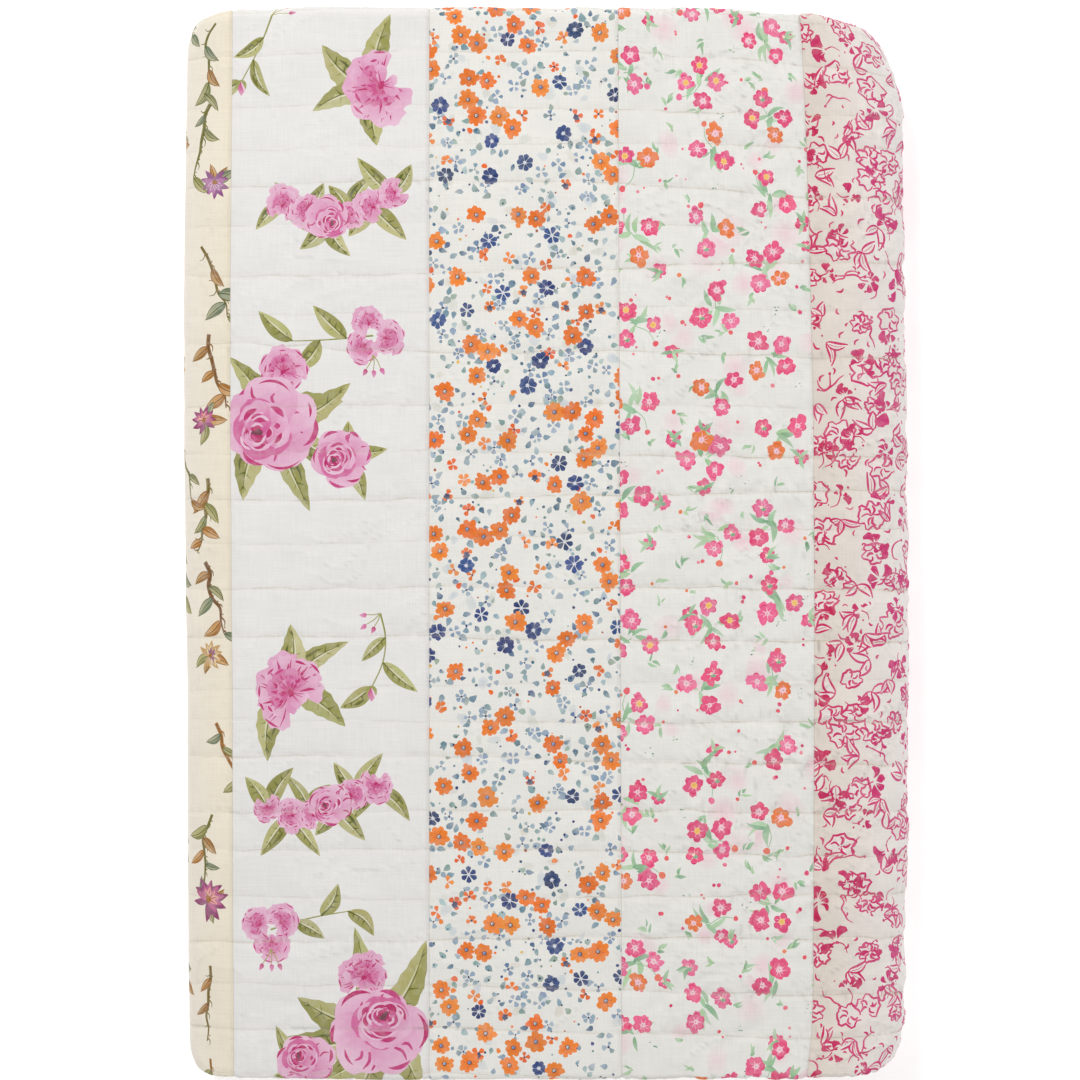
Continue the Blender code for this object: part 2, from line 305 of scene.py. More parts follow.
def relief(X, Y):
    """How far the face stands off its even level, in millimetres."""
    count, step, depth = row_lines(X, Y)
    far = np.abs((count + 0.5) % 1.0 - 0.5) * step  # millimetres to the nearest row
    right = smooth((X - 20) / 90)
    pull = 0.45 + 0.55 * (0.5 + 0.5 * noise(X / 17, np.round(count) * 3.7, 41))
    trough = -depth * pull * (0.80 * np.exp(-(far / 1.9) ** 2) + 0.60 * np.exp(-(far / 6.5) ** 2))
    pucker_width = np.exp(-(far / 8.0) ** 2)
    lean_of = noise(X / 30, Y / 30, 44) * 6
    puckers = noise((X + lean_of + Y * 0.25) / 4.6, Y / 15, 42) * 0.7 + noise((X - Y * 0.3) / 2.6, Y / 9, 43) * 0.3
    out = trough + puckers * pucker_width * (0.46 + 0.62 * right) * (0.45 + depth)
    out += noise(X / 22, Y / 15, 45) * (0.46 + 0.34 * right) + noise(X / 60, Y / 80, 46) * 0.34
    out += noise((X + Y * 0.6) / 11, (Y - X * 0.4) / 26, 47) * (0.07 + 0.16 * right)
    # Crinkles: short ridges that run this way and that, sharper along their tops.
    for size, turned, seed, high in ((9.0, 0.5, 51, 0.20), (7.0, -0.8, 52, 0.16), (13.0, 1.9, 53, 0.26)):
        cx, cy = X * math.cos(turned) + Y * math.sin(turned), Y * math.cos(turned) - X * math.sin(turned)
        ridge = 1 - np.abs(noise(cx / size + 1.5 * noise(cx / 31, cy / 31, seed + 20), cy / (size * 3.2), seed)) * 2.2
        where = smooth(0.5 + 0.9 * noise(X / 45, Y / 38, seed + 10))
        out += high * 2.4 * np.clip(ridge, 0, 1) ** 2 * where * (0.70 + 0.75 * right)
    for (x0, y0), (x1, y1), wide, deep in CREASES:
        dx, dy = x1 - x0, y1 - y0
        long2 = dx * dx + dy * dy
        t = np.clip(((X - x0) * dx + (Y - y0) * dy) / long2, 0, 1)
        bow = 1.6 * np.sin(t * 3.1)
        off = ((X - x0) * dy - (Y - y0) * dx) / math.sqrt(long2) + bow
        beyond = np.hypot(X - x0 - t * dx, Y - y0 - t * dy)
        near = beyond < 4 * wide + 3
        out -= near * 1.7 * deep * np.exp(-(off / wide) ** 2) * np.sin(np.pi * np.clip(t, 0.02, 0.98)) ** 0.7 * (beyond < np.abs(off) + 2)
    for at, top, bottom, deep in PRESSES:
        x0, y1 = px(at, top)
        y0 = (543 - bottom) * PX
        off = X - x0 - 0.8 * noise(Y / 40, Y * 0 + at, 48)
        out += deep * np.exp(-(off / 1.8) ** 2) * smooth((Y - y0) / 20) * smooth((y1 - Y) / 20)
    # Seams: a narrow groove, with the allowance pressed to its right as a low ridge.
    for k in range(-8, 9):
        seam = seam_at(k)
        off = X - seam
        near = np.abs(off) < 12
        if near.any():
            s = np.zeros(len(X))
            s[near] = -0.75 * np.exp(-(off[near] / 0.75) ** 2) + 0.30 * smooth(off[near] / 1.2) * smooth((8.0 - off[near]) / 3)
            out += s
    return np.where(out < -0.9, -0.9 - 0.7 * np.tanh((-out - 0.9) / 0.7), out)


def seam_at(k):
    """Seam k's place across: 0 is the cream strip's right seam."""
    if 0 <= k < 4:
        return SEAMS[k]
    return SEAMS[3] + (k - 3) * STRIP_WIDTH if k > 3 else SEAMS[0] + k * STRIP_WIDTH


# =============================================================== drawing the prints
def colour(text, shift=0.0, rng=None, amount=0.0):
    """Linear colour from an sRGB hex text, lighter or darker by shift, with a little chance."""
    rgb = [int(text[k:k + 2], 16) / 255 for k in (0, 2, 4)]
    if rng and amount:
        shift += rng.uniform(-amount, amount)
        rgb = [c + rng.uniform(-amount, amount) * 0.35 for c in rgb]
    rgb = [min(max(c * (1 + shift), 0.0), 1.0) for c in rgb]
    return tuple(c / 12.92 if c <= 0.04045 else ((c + 0.055) / 1.055) ** 2.4 for c in rgb)


def mixed(a, b, t):
    return tuple(p + (q - p) * t for p, q in zip(a, b))


class Drawing:
    """Filled outlines in the order they are printed, the last on top."""

    def __init__(self, seed):
        self.shapes, self.rng = [], random.Random(seed)

    def add(self, outline, first, second=None, way=None):
        """A fill is flat, or runs from first to second: way is (x, y, radius) or (x, y, x, y)."""
        if len(outline) > 2:
            self.shapes.append((outline, first, second or first, way))

    def within(self, x0, x1, y0, y1):
        out = []
        for shape in self.shapes:
            xs, ys = [p[0] for p in shape[0]], [p[1] for p in shape[0]]
            if max(xs) > x0 and min(xs) < x1 and max(ys) > y0 and min(ys) < y1:
                out.append(shape)
        return out

    def moved(self, dx, dy):
        """The same drawing somewhere else on the cloth."""
        out = Drawing(0)
        for outline, first, second, way in self.shapes:
            if way is not None:
                way = (way[0] + dx, way[1] + dy, way[2]) if len(way) == 3 else (way[0] + dx, way[1] + dy, way[2] + dx, way[3] + dy)
            out.shapes.append(([(x + dx, y + dy) for x, y in outline], first, second, way))
        return out

    # ---- outlines
    def round(self, x, y, r, n=10, uneven=0.12, flat=1.0, turn=0.0):
        ph = self.rng.uniform(0, 6.28)
        c, s = math.cos(turn), math.sin(turn)
        out = []
        for k in range(n):
            t = 2 * math.pi * k / n
            rr = r * (1 + uneven * math.sin(2 * t + ph) * 0.6 + uneven * math.sin(3 * t + 2 * ph) * 0.5)
            px_, py_ = rr * math.cos(t), rr * math.sin(t) * flat
            out.append((x + px_ * c - py_ * s, y + px_ * s + py_ * c))
        return out

    def petals(self, x, y, r, count, notch, turn=0.0, per=6, uneven=0.08, sharp=0.7, rough=0.0):
        sizes = [1 + self.rng.uniform(-uneven, uneven) for _ in range(count)]
        out, n = [], count * per
        for k in range(n):
            t = k / n
            which = int(t * count) % count
            f = (t * count) % 1.0
            rr = r * sizes[which] * (1 - notch + notch * math.sin(math.pi * (0.06 + 0.88 * f)) ** sharp)
            rr *= 1 + self.rng.uniform(-rough, rough)
            angle = turn + 2 * math.pi * t
            out.append((x + rr * math.cos(angle), y + rr * math.sin(angle)))
        return out

    def leaf(self, x0, y0, x1, y1, wide, bend=0.0, n=9, tip=1.0, saw=0.0):
        """A pointed leaf from its stalk to its tip. Returns (outline, midrib, sides)."""
        dx, dy = x1 - x0, y1 - y0
        long = math.hypot(dx, dy) or 1e-6
        nx, ny = -dy / long, dx / long
        mid, left, right = [], [], []
        for k in range(n + 1):
            t = k / n
            off = bend * long * math.sin(math.pi * t)
            mx, my = x0 + dx * t + nx * off, y0 + dy * t + ny * off
            w = wide / 2 * (math.sin(math.pi * t ** (0.75 * tip)) ** 0.85 if 0 < t < 1 else 0)
            w *= 1 + (saw * (1 if k % 2 else -1) if 1 < k < n else 0)
            mid.append((mx, my))
            left.append((mx + nx * w, my + ny * w))
            right.append((mx - nx * w * 0.92, my - ny * w * 0.92))
        return left + right[::-1][1:-1], mid, (left, right)

    def curve(self, points, n=6):
        """A smooth line through the points."""
        p = [points[0]] + list(points) + [points[-1]]
        out = []
        for a, b, c, d in zip(p, p[1:], p[2:], p[3:]):
            for k in range(n):
                t = k / n
                out.append(tuple(
                    0.5 * (2 * b[i] + (c[i] - a[i]) * t + (2 * a[i] - 5 * b[i] + 4 * c[i] - d[i]) * t * t
                           + (3 * b[i] - a[i] - 3 * c[i] + d[i]) * t ** 3) for i in (0, 1)))
        out.append(tuple(points[-1]))
        return out

    def ribbon(self, line, w0, w1=None, swell=None):
        """The outline of a brush stroke along a line; swell widens its middle."""
        w1 = w0 if w1 is None else w1
        left, right, last = [], [], len(line) - 1
        for k, (x, y) in enumerate(line):
            ax, ay = line[max(k - 1, 0)]
            bx, by = line[min(k + 1, last)]
            dx, dy = bx - ax, by - ay
            long = math.hypot(dx, dy) or 1e-6
            t = k / last
            w = w0 + (w1 - w0) * t + (swell * math.sin(math.pi * t) if swell else 0)
            w = max(w / 2, 0.05)
            left.append((x - dy / long * w, y + dx / long * w))
            right.append((x + dy / long * w, y - dx / long * w))
        return left + right[::-1]

    def stroke(self, points, w0, w1, ink, swell=None, n=5, smooth_line=True):
        line = self.curve(points, n) if smooth_line and len(points) > 2 else list(points)
        self.add(self.ribbon(line, w0, w1, swell), ink)

    def arc(self, x, y, r, t0, t1, w, ink, n=8, flat=1.0, turn=0.0, ink2=None):
        """A crescent: a stroke along a circle, thick in its middle."""
        c, s = math.cos(turn), math.sin(turn)
        line = []
        for k in range(n + 1):
            t = t0 + (t1 - t0) * k / n
            ax, ay = r * math.cos(t), r * math.sin(t) * flat
            line.append((x + ax * c - ay * s, y + ax * s + ay * c))
        outline = self.ribbon(line, 0.12, 0.12, w)
        self.add(outline, ink, ink2, (line[0][0], line[0][1], line[-1][0], line[-1][1]) if ink2 else None)


def scattered(rng, box, count, apart, taken=(), tries=40, away=None):
    """Places at least `apart` from each other and `away` from those taken."""
    x0, x1, y0, y1 = box
    found = []
    grid = {}
    size = max(apart, away or 0, 1.0)

    def cell(p):
        return int(p[0] // size), int(p[1] // size)

    for p in taken:
        grid.setdefault(cell(p), []).append((p[0], p[1], away if len(p) < 3 else p[2]))
    for _ in range(count * tries):
        if len(found) >= count:
            break
        p = rng.uniform(x0, x1), rng.uniform(y0, y1)
        cx, cy = cell(p)
        ok = True
        for i in (-1, 0, 1):
            for j in (-1, 0, 1):
                for q in grid.get((cx + i, cy + j), ()):
                    need = q[2] if q[2] is not None else apart
                    if (p[0] - q[0]) ** 2 + (p[1] - q[1]) ** 2 < need * need:
                        ok = False
                        break
                if not ok:
                    break
            if not ok:
                break
        if ok:
            found.append(p)
            grid.setdefault((cx, cy), []).append((p[0], p[1], apart))
    return found


GROUNDS = {"cream": "EDE5D8", "rose": "EFEDEA", "ditsy": "F0EEE8", "sprig": "EFEDE8", "carmine": "E9E0D8"}


# ---- small daisies: orange, navy and soft blue over many specks
def daisies(box, seed, fine=True):
    d = Drawing(seed)
    rng = d.rng
    x0, x1, y0, y1 = box
    area = (x1 - x0) * (y1 - y0) / 80000.0
    wide = (x0 - 4, x1 + 4, y0 - 4, y1 + 4)
    orange = scattered(rng, wide, int(84 * area), 15.5)
    pairs = []
    for x, y in orange:
        if rng.random() < 0.62:
            t = rng.uniform(0, 6.28)
            q = (x + 11.2 * math.cos(t), y + 11.2 * math.sin(t))
            if all((q[0] - p[0]) ** 2 + (q[1] - p[1]) ** 2 > 90 for p in orange + pairs):
                pairs.append(q)
    orange += pairs
    navy = scattered(rng, wide, int(52 * area), 14.0, [(x, y, 9.4) for x, y in orange])
    taken = [(x, y, 8.0) for x, y in orange] + [(x, y, 7.4) for x, y in navy]
    small = scattered(rng, wide, int(86 * area), 9.5, [(x, y, r - 0.4) for x, y, r in taken])
    taken += [(x, y, 6.0) for x, y in small]
    soft = scattered(rng, wide, int(150 * area), 8.2, [(x, y, r - 0.4) for x, y, r in taken])
    taken += [(x, y, 5.6) for x, y in soft]
    leaves = scattered(rng, wide, int(620 * area), 3.9, [(x, y, r - 1.7) for x, y, r in taken])
    specks = scattered(rng, wide, int((330 if fine else 120) * area), 2.8, [(x, y, r - 1.4) for x, y, r in taken] + [(x, y, 2.9) for x, y in leaves])
    blues = ("5F8093", "7B99A6", "8FA8A8", "4F6D8C", "9DB2BB", "6E8FA0", "8AA2B4", "A9BCC0", "7D9A98", "93A79C")
    ground = colour(GROUNDS["ditsy"])
    for x, y in scattered(rng, wide, int(150 * area), 9.0):  # faint washes behind
        r = rng.uniform(2.6, 5.0)
        tint = colour(rng.choice(("C9D3D6", "D3D6CC", "DCD6C8", "C4D0DA")))
        d.add(d.round(x, y, r, 9, uneven=0.3, flat=rng.uniform(0.5, 0.9), turn=rng.uniform(0, 3)), mixed(ground, tint, rng.uniform(0.5, 0.9)), mixed(ground, tint, 0.3), (x, y, r))
    for x, y in leaves:  # brushed dabs, roundish
        t, long = rng.uniform(0, 6.28), rng.uniform(3.6, 6.2)
        ink = colour(rng.choice(blues), rng=rng, amount=0.06)
        shape = d.leaf(x - math.cos(t) * long / 2, y - math.sin(t) * long / 2, x + math.cos(t) * long / 2, y + math.sin(t) * long / 2,
                       long * rng.uniform(0.55, 0.85), rng.uniform(-0.12, 0.12), n=5, tip=rng.choice((1.0, 0.7)))[0]
        d.add(shape, ink, mixed(ink, colour("E8ECEA"), rng.uniform(0.1, 0.5)), (x - math.cos(t) * long / 2, y - math.sin(t) * long / 2, x + math.cos(t) * long / 2, y + math.sin(t) * long / 2))
        if rng.random() < 0.30:
            d.add(d.round(x + rng.uniform(-2.2, 2.2), y + rng.uniform(-2.2, 2.2), rng.uniform(0.5, 0.9), 5), colour(rng.choice(("34467A", "4F6D8C", "47645E"))))
    for x, y in specks:
        pick = rng.random()
        ink = rng.choice(blues) if pick < 0.52 else "3D5180" if pick < 0.66 else "F0793A" if pick < 0.88 else "D9B15C" if pick < 0.95 else "B5573A"
        if pick > 0.66 and pick < 0.88 and rng.random() < 0.5:
            d.add(d.round(x, y, rng.uniform(1.3, 2.1), 8, uneven=0.25), colour(rng.choice(("F2702F", "F58B40", "EF6A35"))))
        else:
            d.add(d.round(x, y, rng.uniform(0.5, 1.25), 6), colour(ink, rng=rng, amount=0.08))
    for x, y in soft:  # a few dabs round a dark dot
        turn, n = rng.uniform(0, 6.28), rng.choice((3, 4, 4, 5))
        inks = [colour(rng.choice(("7E9ABA", "8EA6BE", "9AB1C4", "7893B0", "86A4B4", "8FA3A6", "5E7BA6"))) for _ in range(2)]
        for k in range(n):
            t = turn + 2 * math.pi * k / n + rng.uniform(-0.2, 0.2)
            long = rng.uniform(3.2, 5.0)
            bx, by, ex, ey = x + 0.7 * math.cos(t), y + 0.7 * math.sin(t), x + long * math.cos(t), y + long * math.sin(t)
            ink = mixed(inks[k % 2], colour("DDE4EA"), rng.uniform(0.0, 0.45))
            d.add(d.leaf(ex, ey, bx, by, long * rng.uniform(0.6, 0.9), 0.0, n=5, tip=0.66)[0], mixed(ink, colour("4F6D8C"), 0.25), ink, (bx, by, ex, ey))
        if rng.random() < 0.65:
            d.add(d.round(x, y, rng.uniform(0.5, 0.95), 6, uneven=0.3), colour(rng.choice(("2F3F66", "34467A", "47566E"))))
    for x, y in small:  # small half-open orange flowers and buds
        r, turn, n = rng.uniform(3.4, 4.6), rng.uniform(0, 6.28), rng.choice((4, 5, 5))
        ink = colour(rng.choice(("F2823A", "F0793A", "F79A55", "EE6F38")), rng=rng, amount=0.04)
        miss = rng.randrange(n)
        for k in range(n):
            if k == miss and rng.random() < 0.7:
                continue
            t = turn + 2 * math.pi * k / n + rng.uniform(-0.2, 0.2)
            ex, ey = x + r * math.cos(t), y + r * math.sin(t)
            d.add(d.leaf(ex, ey, x + 0.2 * math.cos(t), y + 0.2 * math.sin(t), r * rng.uniform(0.66, 0.9), 0.0, n=5, tip=0.66)[0], mixed(ink, colour("D9542A"), rng.uniform(0.1, 0.5)), ink, (x, y, ex, ey))
        pick = rng.random()
        if pick < 0.45:
            d.add(d.round(x, y, 0.8, 6, uneven=0.3), colour(rng.choice(("7A4A40", "3F4C6C", "B5472A"))))
        elif pick < 0.65:
            d.add(d.petals(x, y - 1.0, 2.2, 5, 0.4, turn, per=3, rough=0.1), colour("3F4468"), colour("6B6A80"), (x, y, 2.2))
    for x, y in navy:
        r, turn, n = rng.uniform(4.7, 5.8), rng.uniform(0, 6.28), rng.choice((6, 7, 7, 8))
        ink = colour(rng.choice(("34467A", "3B4E84", "2F3F66", "3D5590")), rng=rng, amount=0.05)
        for k in range(n):
            t = turn + 2 * math.pi * k / n + rng.uniform(-0.08, 0.08)
            long = r * rng.uniform(0.88, 1.1)
            ex, ey = x + long * math.cos(t), y + long * math.sin(t)
            d.add(d.leaf(ex, ey, x + 0.6 * math.cos(t), y + 0.6 * math.sin(t), r * 0.62, 0.0, n=5, tip=0.66)[0], mixed(ink, colour("22305A"), 0.3), mixed(ink, colour("7489B8"), rng.uniform(0.0, 0.3)), (x, y, ex, ey))
        d.add(d.petals(x, y, 1.15, 5, 0.35, turn, per=3), colour("DDE0EA"))
    for x, y in orange:
        r, turn, n = rng.uniform(5.4, 6.5), rng.uniform(0, 6.28), rng.choice((7, 8, 8, 9))
        ink = colour(rng.choice(("F4883A", "F27F33", "F59343", "EE7A30", "F4883A")), rng=rng, amount=0.04)
        d.add(d.petals(x, y, r, n, 0.36, turn, per=6, uneven=0.16, sharp=0.6, rough=0.05), mixed(ink, colour("D9622A"), 0.30), ink, (x, y, r * 0.8))
        if fine:
            for k in range(n):
                if rng.random() < 0.45:
                    t = turn + 2 * math.pi * (k + rng.choice((0.0, 0.5))) / n
                    d.add(d.ribbon([(x + 1.6 * math.cos(t), y + 1.6 * math.sin(t)), (x + r * 0.66 * math.cos(t), y + r * 0.66 * math.sin(t))], 0.5, 0.25), colour("DF6A2E"))
        d.add(d.petals(x, y, 1.6, 6, 0.30, turn, per=3), colour("7A5648"))
        d.add(d.round(x - 0.1, y + 0.1, 0.95, 6), colour(rng.choice(("BFC6D6", "D5DAE2", "8FA6D8"))))
        d.add(d.round(x + 0.25, y - 0.1, 0.4, 5), colour("4A4A66"))
    return d


# ---- pink sprigs: groups of round-petalled flowers with pale green leaves
def pink_flower(d, x, y, r, kind):
    rng = d.rng
    turn = rng.uniform(0, 6.28)
    ink = colour(rng.choice(("F26A95", "F57CA4", "EE5A86", "F0628D")), rng=rng, amount=0.03)
    pale, deep = colour("FBD3DE"), colour("DC3A6C")
    if kind == "orange":
        ink, deep = colour("F2854C"), colour("E0643A")
    n = rng.choice((5, 5, 6, 6))
    d.add(d.petals(x, y, r, n, 0.42, turn, per=6, uneven=0.22, sharp=0.45, rough=0.09), mixed(ink, deep, 0.15), ink, (x, y, r))
    for k in range(n):
        t = turn + 2 * math.pi * k / n
        if rng.random() < 0.85:  # petals part in pale lines
            d.add(d.ribbon([(x + 0.8 * math.cos(t), y + 0.8 * math.sin(t)), (x + r * rng.uniform(0.4, 0.66) * math.cos(t + 0.12), y + r * 0.6 * math.sin(t + 0.12))], rng.uniform(0.5, 1.1), 0.3), mixed(pale, ink, rng.uniform(0, 0.4)))
        u = t + math.pi / n
        if rng.random() < 0.6:  # a darker rim or fold on a petal
            d.arc(x + r * 0.52 * math.cos(u), y + r * 0.52 * math.sin(u), r * 0.34, u - 1.3, u + 1.2, 0.85, mixed(deep, ink, rng.uniform(0.1, 0.5)), n=5)
        elif rng.random() < 0.5:
            d.add(d.ribbon([(x + r * 0.35 * math.cos(u), y + r * 0.35 * math.sin(u)), (x + r * 0.7 * math.cos(u + 0.2), y + r * 0.7 * math.sin(u + 0.2))], 0.7, 0.3), mixed(pale, ink, 0.4))
    if kind == "gold":
        d.add(d.petals(x, y, 2.1, 6, 0.25, turn, per=3), colour("F6B04C"), colour("FBD98A"), (x, y, 2.2))
    elif kind == "mint":
        d.add(d.round(x + 0.6, y - 0.8, 1.7, 7, flat=0.7), colour("8CB592"))
        d.add(d.round(x - 0.6, y + 0.4, 1.0, 6), colour("FAE3C8"))
    else:
        d.add(d.petals(x + rng.uniform(-0.4, 0.4), y, rng.uniform(1.5, 2.5), 5, 0.45, turn, per=3, rough=0.15), colour("FBE3E6"), colour("F7BFD0"), (x, y, 2.4))
        d.add(d.round(x, y, 0.5, 5), colour("E0708E"))


def mint_leaf(d, x, y, angle, long, wide):
    ink = colour(d.rng.choice(("9CC79B", "8ABB8E", "AED0A2", "7FAF86", "B4D3AE")), rng=d.rng, amount=0.04)
    x1, y1 = x + long * math.cos(angle), y + long * math.sin(angle)
    d.add(d.leaf(x, y, x1, y1, wide, d.rng.uniform(-0.15, 0.15), n=6)[0], ink, mixed(ink, colour("DCE8D4"), 0.45), (x, y, x1, y1))


def sprigs(box, seed, fine=True):
    d = Drawing(seed)
    rng = d.rng
    x0, x1, y0, y1 = box
    ground = colour(GROUNDS["sprig"])
    # Columns of groups, each a third of a step lower than the one beside it.
    groups = []
    column = 0
    x = x0 + 8
    while x < x1 + 20:
        y = y0 - 20 + (column * 0.37 % 1.0) * 46
        while y < y1 + 20:
            groups.append((x + rng.uniform(-5, 5), y + rng.uniform(-5, 5), rng.choice((2, 3, 3, 4, 3))))
            y += rng.uniform(43, 56)
        column += 1
        x += rng.uniform(46, 54) * (1.0 if column != 2 else 0.86)
    for gx, gy, _ in groups:
        for _ in range(2):
            wx, wy, r = gx + rng.uniform(-30, 30), gy + rng.uniform(-24, 24), rng.uniform(7, 13)
            wash = mixed(ground, colour("F8C9D6"), rng.uniform(0.35, 0.75))
            d.add(d.round(wx, wy, r, 14, uneven=0.2, flat=rng.uniform(0.5, 0.9), turn=rng.uniform(0, 3)), wash, ground, (wx, wy, r * 0.95))
    loose = scattered(rng, (x0 - 3, x1 + 3, y0 - 3, y1 + 3), int((x1 - x0) * (y1 - y0) / 400.0), 11.0, [(g[0], g[1], 15.0) for g in groups])
    for x, y in loose:
        pick = rng.random()
        if pick < 0.16:
            pink_flower(d, x, y, rng.uniform(4.2, 5.2), "mint")
            for _ in range(3):
                mint_leaf(d, x, y, rng.uniform(0, 6.28), rng.uniform(7, 9), 2.6)
        elif pick < 0.62:
            t = rng.uniform(0, 6.28)
            for k in range(rng.choice((2, 3, 3, 4))):
                mint_leaf(d, x + k * 1.4 * math.cos(t), y + k * 1.4 * math.sin(t), t + rng.uniform(-1.0, 1.0), rng.uniform(3.4, 7.5), rng.uniform(1.2, 2.6))
            if rng.random() < 0.5:
                d.add(d.round(x - 2 * math.cos(t), y - 2 * math.sin(t), rng.uniform(1.0, 1.7), 7), colour(rng.choice(("EF6A6A", "F2808F", "F08A5C", "E9527C"))))
        elif pick < 0.85:
            for _ in range(rng.choice((1, 2, 2))):
                d.add(d.round(x + rng.uniform(-3, 3), y + rng.uniform(-3, 3), rng.uniform(0.6, 1.5), 7), colour(rng.choice(("E84C7C", "F0646E", "F38E9C", "DE3E6C"))))
        else:
            for _ in range(4):
                d.add(d.round(x + rng.uniform(-3, 3), y + rng.uniform(-3, 3), rng.uniform(0.4, 0.9), 5, flat=0.6), colour(rng.choice(("8CB592", "6E9C86", "A8CBA4", "5E8C78"))))
    for gx, gy, count in groups:
        start = rng.uniform(0, 6.28)
        for _ in range(rng.choice((4, 5, 6))):
            mint_leaf(d, gx + rng.uniform(-3, 3), gy + rng.uniform(-3, 3), rng.uniform(0, 6.28), rng.uniform(10, 15.5), rng.uniform(2.4, 4.2))
        if rng.random() < 0.6:
            t = rng.uniform(0, 6.28)
            bx, by = gx + 17 * math.cos(t), gy + 17 * math.sin(t)
            d.stroke([(gx, gy), (gx + 9 * math.cos(t + 0.3), gy + 9 * math.sin(t + 0.3)), (bx, by)], 0.6, 0.4, colour("9CC79B"))
            d.add(d.round(bx, by, rng.uniform(1.6, 2.4), 8), colour(rng.choice(("F0646E", "F0709A", "F2806A"))))
        for k in range(count):
            t = start + 2 * math.pi * k / max(count, 3) + rng.uniform(-0.25, 0.25)
            off = rng.uniform(9.5, 12.5) if count > 2 else rng.uniform(7.5, 9.5)
            kind = rng.choice(("plain", "plain", "plain", "plain", "gold", "mint", "plain", "orange"))
            pink_flower(d, gx + off * math.cos(t), gy + off * math.sin(t), rng.uniform(5.2, 6.7), kind)
    return d


# ---- dense carmine line work with solid sprigs
def carmine_ink(d, x):
    """Redder near the strip's left seam, more magenta towards its right."""
    t = min(max((x - 166) / 60.0, 0), 1)
    base = mixed(colour("D32C63"), colour("D6488A"), t * 0.8)
    return mixed(base, colour("E886A8"), max(0.0, d.rng.uniform(-0.25, 0.3)))


def outline_bloom(d, x, y, r, turn):
    """A flower drawn in line on a paler ground: an uneven outer edge, inner petals, a few dots."""
    rng = d.rng
    n = rng.choice((5, 6, 7))
    line = []
    for k in range(n * 5 + 1):
        f = (k / 5) % 1.0
        rr = r * (0.62 + 0.38 * math.sin(math.pi * (0.1 + 0.8 * f)) ** 0.7) * (1 + 0.12 * math.sin(k * 1.7 + turn * 3))
        t = turn + 2 * math.pi * k / (n * 5)
        line.append((x + rr * math.cos(t), y + rr * math.sin(t) * 0.86))
    d.add(line[:-1], colour("F1E6E1"), colour("EDE0DA"), (x, y, r))
    cut = rng.randint(2, 6)
    start = rng.randint(0, len(line) - cut - 8)
    for part in (line[:start + 4], line[start + cut:]):
        if len(part) > 3:
            d.add(d.ribbon(part, 0.7, 0.8, 0.85), carmine_ink(d, x))
    for k in range(n - 1):
        t = turn + 2 * math.pi * (k + rng.uniform(0.1, 0.5)) / n
        rr = r * rng.uniform(0.35, 0.55)
        d.stroke([(x + r * 0.12 * math.cos(t), y + r * 0.12 * math.sin(t)),
                  (x + rr * math.cos(t - 0.35), y + rr * math.sin(t - 0.35)),
                  (x + r * 0.72 * math.cos(t + 0.05), y + r * 0.66 * math.sin(t + 0.05))], 0.7, 0.55, carmine_ink(d, x), swell=rng.uniform(0.5, 1.3), n=4)
    for _ in range(rng.choice((0, 2, 3))):
        d.add(d.round(x + rng.uniform(-1.5, 1.5), y + rng.uniform(-1.5, 1.5), 0.6, 5), carmine_ink(d, x))


def outline_leaf(d, x, y, angle, long, wide):
    x1, y1 = x + long * math.cos(angle), y + long * math.sin(angle)
    _, mid, (left, right) = d.leaf(x, y, x1, y1, wide, d.rng.uniform(-0.2, 0.2), n=7)
    ink = carmine_ink(d, x)
    d.add(left + right[::-1][1:-1], colour("F0E5DF"))
    d.add(d.ribbon(left, 0.6, 0.7, 0.9), ink)
    d.add(d.ribbon(right[:-1], 0.7, 0.6, 0.7), ink)
    if d.rng.random() < 0.7:
        d.add(d.ribbon(mid[1:-2], 0.5, 0.3), ink)


def solid_sprig(d, x, y, turn, size):
    """Teardrop petals printed solid, spreading from a short stalk."""
    rng = d.rng
    ink = mixed(colour("CC2358"), colour("D63C84"), min(max((x - 170) / 60, 0), 1))
    n = rng.choice((5, 6, 7))
    for k in range(n):
        t = turn + (k - (n - 1) / 2) * 0.72 + rng.uniform(-0.38, 0.38)
        long = size * rng.uniform(0.42, 1.05)
        bx, by = x + 1.8 * math.cos(t), y + 1.8 * math.sin(t)
        shape = d.leaf(x + long * math.cos(t), y + long * math.sin(t), bx, by, long * rng.uniform(0.34, 0.66), rng.uniform(-0.34, 0.34), n=7, tip=0.62)[0]
        d.add(shape, mixed(ink, colour("B0164A"), rng.uniform(0, 0.35)), mixed(ink, colour("E56C94"), rng.uniform(0.0, 0.35)), (bx, by, x + long * math.cos(t), y + long * math.sin(t)))
        if rng.random() < 0.5:
            d.add(d.ribbon([(bx, by), (x + long * 0.6 * math.cos(t), y + long * 0.6 * math.sin(t))], 0.5, 0.25), colour("EBC9CC"))
    d.stroke([(x, y), (x - size * 0.5 * math.cos(turn + 0.4), y - size * 0.5 * math.sin(turn + 0.4)),
              (x - size * 0.9 * math.cos(turn), y - size * 0.9 * math.sin(turn))], 0.9, 0.5, ink)
    for _ in range(3):
        d.add(d.round(x + rng.uniform(-size, size) * 0.8, y + rng.uniform(-size, size) * 0.8, rng.uniform(0.4, 0.9), 5), ink)


